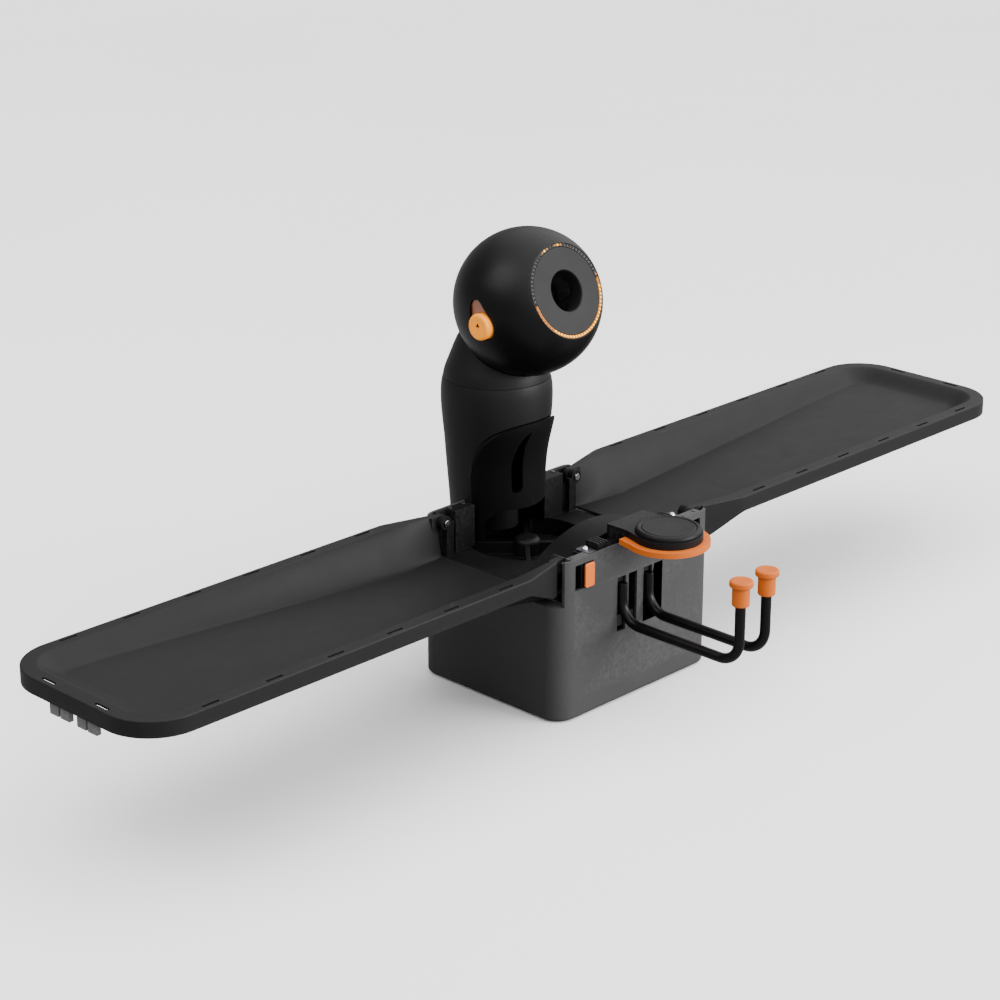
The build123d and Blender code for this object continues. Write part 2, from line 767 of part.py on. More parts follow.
def swing(angle, reach):
    """Point in the side plane, at an angle from straight down towards the back."""
    a = math.radians(angle)
    return (HEAD_Y + reach * math.sin(a), HEAD_Z - reach * math.cos(a))


LAMP_Y = 52.0
LAMP_Z = 400.0
LAMP_R = 15.8
TIP_Y = 60.0
TIP_Z = 419.0
TIP_R = 8.8


def teardrop(grow):
    """Lamp outline on the side plane: a large round foot and a smaller round tip above it."""
    r1 = LAMP_R + grow
    r2 = TIP_R + grow
    dy = TIP_Y - LAMP_Y
    dz = TIP_Z - LAMP_Z
    axis = math.atan2(dz, dy)
    spread = math.acos((r1 - r2) / math.hypot(dy, dz))
    foot = [(LAMP_Y + r1 * math.cos(axis + s), LAMP_Z + r1 * math.sin(axis + s)) for s in (spread, math.pi, -spread)]
    tip = [(TIP_Y + r2 * math.cos(axis + s), TIP_Z + r2 * math.sin(axis + s)) for s in (-spread, 0, spread)]
    with BuildSketch(Plane.XY) as area:
        with BuildLine():
            ThreePointArc(*foot)
            Line(foot[2], tip[0])
            ThreePointArc(*tip)
            Line(tip[2], foot[0])
        make_face()
    return area.sketch


DROP_HOLE = teardrop(0)
DROP_CUP = teardrop(2.4)
DROP_LENS = teardrop(-0.6)

with BuildPart() as head_shell_right:
    with Locations((0, HEAD_Y, HEAD_Z)):
        Sphere(HEAD_R)
        Sphere(HEAD_R - HEAD_WALL, mode=Mode.SUBTRACT)
    with BuildSketch(FACE):
        Circle(HEAD_R)
    extrude(amount=30, mode=Mode.SUBTRACT)
    with BuildSketch(FACE):
        Circle(51.3)
    extrude(amount=-8, mode=Mode.SUBTRACT)
    with BuildSketch(side_plane(-33)):
        with BuildLine():
            Polyline((HEAD_Y, HEAD_Z), swing(-18.5, 120), swing(17.5, 120), swing(53.5, 120), close=True)
        make_face()
    extrude(amount=66, mode=Mode.SUBTRACT)
    with BuildSketch(side_plane(60)):
        add(DROP_HOLE)
    extrude(amount=30, mode=Mode.SUBTRACT)
    with BuildSketch(side_plane(0.15)):
        with Locations((HEAD_Y, HEAD_Z)):
            Circle(HEAD_R + 5)
    extrude(amount=HEAD_R + 5, mode=Mode.INTERSECT)
head_shell_right.part.label = "head_shell_right"
export_step(head_shell_right.part, "parts/head_shell_right.step")

with BuildPart() as head_shell_left:
    mirror(head_shell_right.part, about=Plane.YZ)
head_shell_left.part.label = "head_shell_left"
export_step(head_shell_left.part, "parts/head_shell_left.step")

with BuildPart() as light_ring:
    with BuildSketch(FACE):
        Circle(51.2)
        Circle(47.8, mode=Mode.SUBTRACT)
    extrude(amount=-5)
light_ring.part.label = "light_ring"
export_step(light_ring.part, "parts/light_ring.step")

with BuildPart() as led_beads:
    with BuildSketch(FACE):
        with PolarLocations(49.5, 72):
            Circle(1.1)
    extrude(amount=0.8)
led_beads.part.label = "led_beads"
export_step(led_beads.part, "parts/led_beads.step")

with BuildPart() as muzzle:
    with BuildSketch(CHIN.offset(56)):
        Circle(47.5)
    extrude(amount=5.4)
    with BuildSketch(CHIN.offset(44)):
        Circle(BORE_R + 3)
    extrude(amount=12)
    with BuildSketch(CHIN.offset(44)):
        Circle(BORE_R)
    extrude(amount=20, mode=Mode.SUBTRACT)
muzzle.part.label = "muzzle"
export_step(muzzle.part, "parts/muzzle.step")

with BuildPart() as side_cups:
    for x_low in (70.2, -71.9):
        with BuildSketch(side_plane(x_low)):
            add(DROP_CUP)
        extrude(amount=1.7)
side_cups.part.label = "side_cups"
export_step(side_cups.part, "parts/side_cups.step")

with BuildPart() as side_discs:
    for x_low in (71.9, -85.5):
        with BuildSketch(side_plane(x_low)):
            with Locations((LAMP_Y, LAMP_Z)):
                Circle(14.4)
        extrude(amount=13.6)
side_discs.part.label = "side_discs"
export_step(side_discs.part, "parts/side_discs.step")

with BuildPart() as side_lenses:
    for x_low in (71.9, -77.4):
        with BuildSketch(side_plane(x_low)):
            add(DROP_LENS)
            with Locations((LAMP_Y, LAMP_Z)):
                Circle(14.7, mode=Mode.SUBTRACT)
            with Locations((LAMP_Y + 4, LAMP_Z + 22)):
                Rectangle(60, 40, mode=Mode.INTERSECT)
        extrude(amount=5.5)
side_lenses.part.label = "side_lenses"
export_step(side_lenses.part, "parts/side_lenses.step")

with BuildPart() as side_marks:
    for x_low in (85.5, -86.1):
        with BuildSketch(side_plane(x_low)):
            with Locations((LAMP_Y - 0.4, LAMP_Z + 2)):
                RegularPolygon(2.6, 3, rotation=90)
        extrude(amount=0.6)
side_marks.part.label = "side_marks"
export_step(side_marks.part, "parts/side_marks.step")

# =================================================================================================
# Head: chassis, pivots, launch wheels and motors
# =================================================================================================
WHEEL_ALONG = 20.0
WHEEL_UP = 41.0
WHEEL_R = 22.0
TOP_C = head_point(WHEEL_ALONG, WHEEL_UP)
LOW_C = head_point(WHEEL_ALONG, -WHEEL_UP)

with BuildPart() as chassis_plates:
    for x_low in (34.0, -37.0):
        with BuildSketch(side_plane(x_low)):
            with Locations((HEAD_Y, HEAD_Z)):
                Circle(54.5)
            with Locations((HEAD_Y, HEAD_Z)):
                Circle(5 + RUN, mode=Mode.SUBTRACT)
            with Locations((HEAD_Y + 24, HEAD_Z + 24), (HEAD_Y + 30, HEAD_Z - 14)):
                Circle(13, mode=Mode.SUBTRACT)
            with Locations((TOP_C[1], TOP_C[2]), (LOW_C[1], LOW_C[2])):
                Circle(3, mode=Mode.SUBTRACT)
        extrude(amount=3)
chassis_plates.part.label = "chassis_plates"
export_step(chassis_plates.part, "parts/chassis_plates.step")

with BuildPart() as pivot_shafts:
    for x_low in (27.4, -70.0):
        with BuildSketch(side_plane(x_low)):
            with Locations((HEAD_Y, HEAD_Z)):
                Circle(5)
        extrude(amount=42.6)
pivot_shafts.part.label = "pivot_shafts"
export_step(pivot_shafts.part, "parts/pivot_shafts.step")


with BuildPart() as launch_motors:
    for centre, can_low, shaft_low in ((TOP_C, -34.0, -14.0), (LOW_C, 14.0, -8.0)):
        with BuildSketch(side_plane(can_low)):
            with Locations((centre[1], centre[2])):
                Circle(11)
        extrude(amount=20)
        with BuildSketch(side_plane(shaft_low)):
            with Locations((centre[1], centre[2])):
                Circle(2)
        extrude(amount=22)
launch_motors.part.label = "launch_motors"
export_step(launch_motors.part, "parts/launch_motors.step")


def wheel_hub(centre):
    """Spoked hub with a bore that runs on the motor shaft."""
    with BuildPart() as hub:
        with BuildSketch(side_plane(-9)):
            with Locations((centre[1], centre[2])):
                Circle(16)
            with Locations((centre[1], centre[2])):
                Circle(2 + RUN, mode=Mode.SUBTRACT)
        extrude(amount=18)
        with BuildSketch(side_plane(-10)):
            with Locations((centre[1], centre[2])):
                with PolarLocations(9.5, 6):
                    Circle(2.6, mode=Mode.ADD)
        extrude(amount=20, mode=Mode.SUBTRACT)
    return hub


def wheel_tyre(centre):
    """Soft tread ring on the hub, slightly hollow across its width."""
    with BuildPart() as tyre:
        with BuildSketch(side_plane(-9)):
            with Locations((centre[1], centre[2])):
                Circle(WHEEL_R)
            with Locations((centre[1], centre[2])):
                Circle(16, mode=Mode.SUBTRACT)
        extrude(amount=18)
    return tyre


wheel_top_hub = wheel_hub(TOP_C)
wheel_top_hub.part.label = "wheel_top_hub"
export_step(wheel_top_hub.part, "parts/wheel_top_hub.step")

wheel_top_tyre = wheel_tyre(TOP_C)
wheel_top_tyre.part.label = "wheel_top_tyre"
export_step(wheel_top_tyre.part, "parts/wheel_top_tyre.step")

wheel_low_hub = wheel_hub(LOW_C)
wheel_low_hub.part.label = "wheel_low_hub"
export_step(wheel_low_hub.part, "parts/wheel_low_hub.step")

wheel_low_tyre = wheel_tyre(LOW_C)
wheel_low_tyre.part.label = "wheel_low_tyre"
export_step(wheel_low_tyre.part, "parts/wheel_low_tyre.step")

# =================================================================================================
# Trays
# =================================================================================================
THROAT_X = 108.0


def tray_outline(inset):
    """Tray plan outline with rounded outer corners, shrunk by the inset."""
    near = TRAY_NEAR + inset
    far = TRAY_FAR - inset
    end = TRAY_END - inset
    r = TRAY_CORNER - inset
    with BuildSketch(Plane.XY) as area:
        with BuildLine():
            Line((117 + inset, -95.3 + inset), (TRAY_FULL, near))
            Line((TRAY_FULL, near), (end - r, near))
            ThreePointArc((end - r, near), (end - r * (1 - 0.70711), near + r * (1 - 0.70711)), (end, near + r))
            Line((end, near + r), (end, far - r))
            ThreePointArc((end, far - r), (end - r * (1 - 0.70711), far - r * (1 - 0.70711)), (end - r, far))
            Line((end - r, far), (TRAY_FULL, far))
            Line((TRAY_FULL, far), (117 + inset, 100.3 - inset))
            Line((117 + inset, 100.3 - inset), (117 + inset, -95.3 + inset))
        make_face()
    return area.sketch


def trough(x, low_near, low_far, low_z, top_near, top_far, top_z):
    """One cross-section of the tray's basin."""
    with BuildSketch(side_plane(x)) as area:
        with BuildLine():
            Polyline((top_near, top_z), (low_near, low_z), (low_far, low_z), (top_far, top_z), close=True)
        make_face()
    return area.sketch


CUT_THROAT = trough(THROAT_X - 1, -80.0, 85.0, 138.0, -88.5, 93.5, 185.0)
CUT_WIDE = trough(TRAY_FULL, -70.0, 75.0, 142.0, -94.0, 99.5, 185.0)
CUT_SHALLOW = trough(622, -84.0, 89.0, 170.0, -94.0, 99.5, 185.0)
CUT_END = trough(656, -92.0, 97.5, 182.5, -94.0, 99.5, 185.0)
BODY_THROAT = trough(THROAT_X, -83.0, 88.0, 135.4, -91.5, 96.5, RIM_Z)
BODY_WIDE = trough(TRAY_FULL, -73.0, 78.0, 139.4, -97.0, 102.5, RIM_Z)
BODY_SHALLOW = trough(624, -87.0, 92.0, 167.4, -97.0, 102.5, RIM_Z)
BODY_END = trough(658, -95.0, 100.5, 180.2, -97.0, 102.5, RIM_Z)
OUTLINE = tray_outline(0)
OUTLINE_INNER = tray_outline(RIM_T)

with BuildPart() as trough_cut:
    for start, finish in ((CUT_THROAT, CUT_WIDE), (CUT_WIDE, CUT_SHALLOW), (CUT_SHALLOW, CUT_END)):
        loft([start.face(), finish.face()], ruled=True)
    with BuildSketch(Plane.XY.offset(120)):
        with BuildLine():
            Polyline((100, -94), (616, -94), (655, -55), (655, 60), (616, 99.5), (100, 99.5), close=True)
        make_face()
    extrude(amount=80, mode=Mode.INTERSECT)

with BuildPart() as trough_body:
    for start, finish in ((BODY_THROAT, BODY_WIDE), (BODY_WIDE, BODY_SHALLOW), (BODY_SHALLOW, BODY_END)):
        loft([start.face(), finish.face()], ruled=True)

with BuildPart() as tray_right:
    with BuildSketch(Plane.XY.offset(145)):
        add(OUTLINE)
    extrude(amount=RIM_Z - 145)
    with BuildSketch(Plane.XY.offset(145)):
        add(OUTLINE_INNER)
    extrude(amount=RIM_Z - RIM_T - 145, mode=Mode.SUBTRACT)
    with BuildSketch(front_plane(150)):
        with BuildLine():
            Polyline((110, 145.5), (125, 145.5), (TRAY_FULL, SKIRT_Z), (690, SKIRT_Z), (690, 130), (110, 130), close=True)
        make_face()
    extrude(amount=300, mode=Mode.SUBTRACT)
    add(trough_body.part)
    for low, high in ((-91.5, -84.0), (89.0, 96.5)):
        with BuildSketch(front_plane(high)):
            with Locations((FOLD_X, FOLD_Z)):
                Circle(FOLD_R)
            with Locations((113, FOLD_Z - 0.3)):
                Rectangle(18, 16)
        extrude(amount=high - low)
        with BuildSketch(front_plane(high + 1)):
            with Locations((FOLD_X, FOLD_Z)):
                Circle(PIN_R + RUN)
        extrude(amount=high - low + 2, mode=Mode.SUBTRACT)
    add(trough_cut.part, mode=Mode.SUBTRACT)
    for low, high in ((-91.5, -84.0), (89.0, 96.5)):
        with BuildSketch(front_plane(high)):
            with Locations((114, FOLD_Z - 0.3)):
                Rectangle(9, 16)
        extrude(amount=high - low)
    with BuildSketch(Plane.XY.offset(170)):
        for step in range(6):
            with Locations((203 + 77.5 * step, -104.3), (203 + 77.5 * step, 109.6)):
                SlotOverall(21, 3.5)
        with Locations((663.5, 42), (663.5, -38.5)):
            SlotOverall(21, 3.5, rotation=90)
    extrude(amount=30, mode=Mode.SUBTRACT)
tray_right.part.label = "tray_right"
export_step(tray_right.part, "parts/tray_right.step")

with BuildPart() as tray_left:
    mirror(tray_right.part, about=Plane.YZ)
tray_left.part.label = "tray_left"
export_step(tray_left.part, "parts/tray_left.step")

with BuildPart() as net_lugs_right:
    with BuildSketch(Plane.XY.offset(153)):
        with Locations((665.0, 31.0), (665.0, 14.8), (665.0, -10.5), (665.0, -26.7)):
            Rectangle(5.5, 13.5)
    extrude(amount=RIM_Z - RIM_T - 153)
net_lugs_right.part.label = "net_lugs_right"
export_step(net_lugs_right.part, "parts/net_lugs_right.step")

with BuildPart() as net_lugs_left:
    mirror(net_lugs_right.part, about=Plane.YZ)
net_lugs_left.part.label = "net_lugs_left"
export_step(net_lugs_left.part, "parts/net_lugs_left.step")

# =================================================================================================
# Clamp tongue, latch buttons and hooks
# =================================================================================================
with BuildPart() as clamp_plate:
    with BuildSketch(Plane.XY.offset(192)):
        with Locations((0, -146)):
            Circle(37)
        with BuildLine():
            Polyline((-29, -85), (-29, -113), (-36.4, -139.4), (36.4, -139.4), (29, -113), (29, -85), close=True)
        make_face()
    extrude(amount=8)
    for side in (-1, 1):
        with BuildSketch(side_plane(side * 31.5 - 11.5)):
            with Locations((CLAMP_Y, CLAMP_Z)):
                Circle(9)
        extrude(amount=23)
        with BuildSketch(side_plane(side * 24.5 - 4.5)):
            with Locations((CLAMP_Y, 187)):
                Rectangle(14, 22)
        extrude(amount=9)
        with BuildSketch(side_plane(side * 31.5 - 12.5)):
            with Locations((CLAMP_Y, CLAMP_Z)):
                Circle(3 + RUN)
        extrude(amount=25, mode=Mode.SUBTRACT)
clamp_plate.part.label = "clamp_plate"
export_step(clamp_plate.part, "parts/clamp_plate.step")

with BuildPart() as clamp_pad:
    with BuildSketch(Plane.XY.offset(186)):
        with Locations((0, -146)):
            Circle(45)
        with BuildLine():
            Polyline((-38, -110.5), (38, -110.5), (45, -146), (-45, -146), close=True)
        make_face()
    extrude(amount=6)
    for row in range(6):
        with BuildSketch(Plane.XY.offset(186)):
            with Locations((0, -170 + 9 * row)):
                SlotOverall(56, 3)
        extrude(amount=1.5, mode=Mode.SUBTRACT)
clamp_pad.part.label = "clamp_pad"
export_step(clamp_pad.part, "parts/clamp_pad.step")

with BuildPart() as clamp_puck:
    with BuildSketch(Plane.XY.offset(200)):
        with Locations((0, -146)):
            Circle(35.5)
    extrude(amount=5.5)
    fillet(clamp_puck.edges().group_by(Axis.Z)[-1], radius=3)
    with Locations((0, -146, 204.3 + 343.8)):
        Sphere(343.8, mode=Mode.SUBTRACT)
clamp_puck.part.label = "clamp_puck"
export_step(clamp_puck.part, "parts/clamp_puck.step")


def latch_button(side):
    """Press button with a rounded face and a retaining flange behind the wall."""
    with BuildPart() as button:
        with BuildSketch(front_plane(-100.0)):
            with Locations((side * 80.6, 163)):
                RectangleRounded(14.8, 27.6, 3)
        extrude(amount=9.2)
    return button


button_left = latch_button(-1)
button_left.part.label = "button_left"
export_step(button_left.part, "parts/button_left.step")

button_right = latch_button(1)
button_right.part.label = "button_right"
export_step(button_right.part, "parts/button_right.step")


def hook_rod(x):
    """Bent rod: down the front, forward under the table and up to the tip, with its inner slider."""
    with BuildPart() as rod:
        with BuildLine() as path:
            FilletPolyline(
                (x, ROD_Y, ROD_TOP_Z),
                (x, ROD_Y, ROD_LOW_Z),
                (x, ROD_TIP_Y, ROD_LOW_Z),
                (x, ROD_TIP_Y, 176.0),
                radius=BEND_R,
            )
        with BuildSketch(Plane(origin=(x, ROD_Y, ROD_TOP_Z), x_dir=(1, 0, 0), z_dir=(0, 0, -1))):
            Circle(ROD_R)
        sweep(path=path.line)
        with BuildSketch(Plane.XY.offset(116)):
            with Locations((x, -97.2)):
                Rectangle(14.0, 10.6)
        extrude(amount=30)
        with BuildSketch(Plane.XY.offset(118)):
            with Locations((x, -104)):
                Rectangle(8, 6)
        extrude(amount=20)
    return rod


def hook_cap(x):
    """Grip cap with a wide top flange, bored for the rod."""
    with BuildPart() as cap:
        with BuildSketch(Plane.XY.offset(159)):
            with Locations((x, ROD_TIP_Y)):
                Circle(9.3)
        extrude(amount=21)
        with BuildSketch(Plane.XY.offset(180)):
            with Locations((x, ROD_TIP_Y)):
                Circle(12.5)
        extrude(amount=7)
        with BuildSketch(Plane.XY.offset(158)):
            with Locations((x, ROD_TIP_Y)):
                Circle(ROD_R + RUN)
        extrude(amount=18.2, mode=Mode.SUBTRACT)
    return cap


hook_rod_left = hook_rod(HOOK_X[0])
hook_rod_left.part.label = "hook_rod_left"
export_step(hook_rod_left.part, "parts/hook_rod_left.step")

hook_rod_right = hook_rod(HOOK_X[1])
hook_rod_right.part.label = "hook_rod_right"
export_step(hook_rod_right.part, "parts/hook_rod_right.step")

hook_cap_left = hook_cap(HOOK_X[0])
hook_cap_left.part.label = "hook_cap_left"
export_step(hook_cap_left.part, "parts/hook_cap_left.step")

hook_cap_right = hook_cap(HOOK_X[1])
hook_cap_right.part.label = "hook_cap_right"
export_step(hook_cap_right.part, "parts/hook_cap_right.step")
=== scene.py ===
"""Looks for the table-tennis ball machine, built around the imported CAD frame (metres, +Z up)."""
import json
import math

import bmesh
import bpy
from mathutils import Matrix, Vector


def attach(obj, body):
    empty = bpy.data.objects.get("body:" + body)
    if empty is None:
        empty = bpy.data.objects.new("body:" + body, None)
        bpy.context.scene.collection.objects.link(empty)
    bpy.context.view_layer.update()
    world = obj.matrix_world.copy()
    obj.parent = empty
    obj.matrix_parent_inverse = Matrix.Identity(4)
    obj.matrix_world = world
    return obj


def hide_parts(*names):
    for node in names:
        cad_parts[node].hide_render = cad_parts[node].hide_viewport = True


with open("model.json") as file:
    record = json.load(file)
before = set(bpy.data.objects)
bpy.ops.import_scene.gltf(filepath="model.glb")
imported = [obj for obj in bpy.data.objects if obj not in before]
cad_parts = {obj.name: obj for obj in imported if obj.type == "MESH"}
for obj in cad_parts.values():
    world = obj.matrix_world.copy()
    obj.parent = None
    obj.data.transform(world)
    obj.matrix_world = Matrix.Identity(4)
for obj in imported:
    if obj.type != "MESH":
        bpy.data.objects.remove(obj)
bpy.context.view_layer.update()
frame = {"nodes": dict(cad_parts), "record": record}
NODES = frame["nodes"]
BODY_OF = {node: body for body, nodes in frame["record"]["behaviour"]["bodies"].items() for node in nodes}
SLOT_OF = {row["node"]: row["material_slot"] for row in frame["record"]["subparts"]}
MM = 0.001

# ---- main sizes, in mm --------------------------------------------------------------------------
HEAD = Vector((0.0, 60.0, 409.8))
HEAD_R = 81.0
PITCH = math.radians(22.0)
BARREL = Vector((0.0, -math.cos(PITCH), math.sin(PITCH)))
LIFT = Vector((0.0, math.sin(PITCH), math.cos(PITCH)))
SIDE = Vector((1.0, 0.0, 0.0))


# =================================================================================================
# Materials
# =================================================================================================
class Graph:
    """Small helper that adds and links shader nodes."""

    def __init__(self, name):
        self.mat = bpy.data.materials.new(name)
        self.mat.use_nodes = True
        self.tree = self.mat.node_tree
        self.tree.nodes.clear()
        self.out = self.add("ShaderNodeOutputMaterial")
        self.bsdf = self.add("ShaderNodeBsdfPrincipled")
        self.link(self.bsdf, "BSDF", self.out, "Surface")
        self.coord = self.add("ShaderNodeTexCoord")

    def add(self, kind, **sockets):
        node = self.tree.nodes.new(kind)
        for key, value in sockets.items():
            node.inputs[key.replace("_", " ")].default_value = value
        return node

    def link(self, a, a_socket, b, b_socket):
        self.tree.links.new(a.outputs[a_socket], b.inputs[b_socket])

    def noise(self, scale, detail=3.0, rough=0.5, stretch=None):
        node = self.add("ShaderNodeTexNoise", Scale=scale, Detail=detail, Roughness=rough)
        if stretch:
            mapping = self.add("ShaderNodeMapping")
            mapping.inputs["Scale"].default_value = stretch
            self.link(self.coord, "Object", mapping, "Vector")
            self.link(mapping, "Vector", node, "Vector")
        else:
            self.link(self.coord, "Object", node, "Vector")
        return node

    def ramp(self, source, socket, stops):
        node = self.add("ShaderNodeValToRGB")
        line = node.color_ramp
        line.elements[0].position = stops[0][0]
        line.elements[0].color = rgba(stops[0][1])
        line.elements[1].position = stops[-1][0]
        line.elements[1].color = rgba(stops[-1][1])
        for where, value in stops[1:-1]:
            line.elements.new(where).color = rgba(value)
        self.link(source, socket, node, "Fac")
        return node

    def mix(self, factor, a, b, blend="MIX"):
        node = self.tree.nodes.new("ShaderNodeMix")
        node.data_type = "RGBA"
        node.blend_type = blend
        if isinstance(factor, (int, float)):
            node.inputs[0].default_value = factor
        else:
            self.tree.links.new(factor, node.inputs[0])
        for value, index in ((a, 6), (b, 7)):
            if isinstance(value, (tuple, list)):
                node.inputs[index].default_value = rgba(value)
            else:
                self.tree.links.new(value, node.inputs[index])
        return node.outputs[2]

    def bump(self, height, strength, distance, below=None):
        node = self.add("ShaderNodeBump", Strength=strength, Distance=distance)
        self.tree.links.new(height, node.inputs["Height"])
        if below is not None:
            self.tree.links.new(below.outputs["Normal"], node.inputs["Normal"])
        return node


def rgba(value):
    if isinstance(value, (int, float)):
        return (value, value, value, 1.0)
    return (value[0], value[1], value[2], 1.0)


DUST = (0.30, 0.29, 0.27)


def plastic(name, colour, rough, grain, pitch, mottle, wear, coat=0.0, spec=0.5):
    """Moulded plastic or rubber: fine moulded grain, soft tone variation, dust and rubbed edges."""
    g = Graph(name)
    tone = g.noise(14.0, 4.0)
    cloud = g.ramp(tone, "Fac", ((0.35, 1.0 - mottle), (0.68, 1.0 + mottle)))
    base = g.mix(1.0, colour, cloud.outputs["Color"], "MULTIPLY")
    point = g.add("ShaderNodeNewGeometry")
    edge = g.ramp(point, "Pointiness", ((0.515, 0.0), (0.60, 1.0)))
    scuff = g.noise(260.0, 5.0, 0.7)
    patch = g.ramp(scuff, "Fac", ((0.42, 0.0), (0.62, 1.0)))
    worn = g.mix(1.0, edge.outputs["Color"], patch.outputs["Color"], "MULTIPLY")
    share = g.mix(1.0, worn, (wear, wear, wear), "MULTIPLY")
    lighter = tuple(min(1.0, c * 1.8 + 0.03) for c in colour)
    base = g.mix(share, base, lighter)
    specks = g.noise(900.0, 2.0, 0.5)
    dust = g.ramp(specks, "Fac", ((0.70, 0.0), (0.80, 0.10)))
    base = g.mix(dust.outputs["Color"], base, DUST)
    g.tree.links.new(base, g.bsdf.inputs["Base Color"])
    sweep = g.noise(32.0, 5.0, 0.6)
    gloss = g.ramp(sweep, "Fac", ((0.30, max(0.03, rough - 0.025)), (0.72, min(1.0, rough + 0.04))))
    g.tree.links.new(gloss.outputs["Color"], g.bsdf.inputs["Roughness"])
    fine = g.add("ShaderNodeTexVoronoi", Scale=pitch)
    g.link(g.coord, "Object", fine, "Vector")
    first = g.bump(fine.outputs["Distance"], grain, 0.00012)
    wave = g.noise(55.0, 2.0)
    second = g.bump(wave.outputs["Fac"], 0.015, 0.0006, first)
    g.link(second, "Normal", g.bsdf, "Normal")
    g.bsdf.inputs["Specular IOR Level"].default_value = spec
    g.bsdf.inputs["Coat Weight"].default_value = coat
    g.bsdf.inputs["Coat Roughness"].default_value = 0.12
    return g.mat


def metal(name, colour, rough, brushed, stretch=(1.0, 1.0, 60.0)):
    """Metal with a brushed or turned grain, faint scratches and slightly uneven polish."""
    g = Graph(name)
    grain = g.noise(900.0, 3.0, 0.6, stretch)
    tint = g.ramp(grain, "Fac", ((0.3, 0.82), (0.7, 1.08)))
    base = g.mix(1.0, colour, tint.outputs["Color"], "MULTIPLY")
    g.tree.links.new(base, g.bsdf.inputs["Base Color"])
    marks = g.noise(120.0, 6.0, 0.75)
    gloss = g.ramp(marks, "Fac", ((0.35, max(0.04, rough - 0.08)), (0.70, rough + 0.12)))
    g.tree.links.new(gloss.outputs["Color"], g.bsdf.inputs["Roughness"])
    lines = g.bump(grain.outputs["Fac"], brushed, 0.00006)
    g.link(lines, "Normal", g.bsdf, "Normal")
    g.bsdf.inputs["Metallic"].default_value = 1.0
    return g.mat


def glowing(name, colour, strength, hot):
    """Lit diffuser: a warm glow that is stronger in small cells, over a frosted amber body."""
    g = Graph(name)
    cells = g.add("ShaderNodeTexVoronoi", Scale=420.0)
    g.link(g.coord, "Object", cells, "Vector")
    hue = g.ramp(cells, "Distance", ((0.0, hot), (0.75, colour)))
    g.tree.links.new(hue.outputs["Color"], g.bsdf.inputs["Emission Color"])
    g.tree.links.new(hue.outputs["Color"], g.bsdf.inputs["Base Color"])
    g.bsdf.inputs["Emission Strength"].default_value = strength
    g.bsdf.inputs["Roughness"].default_value = 0.38
    g.bsdf.inputs["Specular IOR Level"].default_value = 0.2
    frost = g.noise(1500.0, 2.0)
    bump = g.bump(frost.outputs["Fac"], 0.2, 0.0001)
    g.link(bump, "Normal", g.bsdf, "Normal")
    return g.mat


def lens(name, colour, rough):
    """Tinted translucent moulding with slight depth variation."""
    g = Graph(name)
    depth = g.noise(70.0, 3.0)
    hue = g.ramp(depth, "Fac", ((0.3, tuple(c * 0.72 for c in colour)), (0.7, colour)))
    g.tree.links.new(hue.outputs["Color"], g.bsdf.inputs["Base Color"])
    g.bsdf.inputs["Roughness"].default_value = rough
    g.bsdf.inputs["Subsurface Weight"].default_value = 0.25
    g.bsdf.inputs["Subsurface Radius"].default_value = (0.004, 0.002, 0.001)
    g.bsdf.inputs["Coat Weight"].default_value = 0.8
    ripple = g.noise(260.0, 2.0)
    bump = g.bump(ripple.outputs["Fac"], 0.12, 0.0003)
    g.link(bump, "Normal", g.bsdf, "Normal")
    return g.mat


def board(name):
    """Circuit board: solder mask with copper traces and pads showing through."""
    g = Graph(name)
    brick = g.add("ShaderNodeTexBrick", Scale=190.0, Mortar_Size=0.03)
    g.link(g.coord, "Object", brick, "Vector")
    brick.inputs["Color1"].default_value = (0.01, 0.10, 0.04, 1.0)
    brick.inputs["Color2"].default_value = (0.014, 0.13, 0.05, 1.0)
    brick.inputs["Mortar"].default_value = (0.20, 0.26, 0.07, 1.0)
    g.link(brick, "Color", g.bsdf, "Base Color")
    g.bsdf.inputs["Roughness"].default_value = 0.34
    bump = g.bump(brick.outputs["Fac"], 0.3, 0.00005)
    g.link(bump, "Normal", g.bsdf, "Normal")
    return g.mat


def grey(value, blue=0.0):
    """Neutral colour with a little extra blue."""
    return (value, value, value + blue)


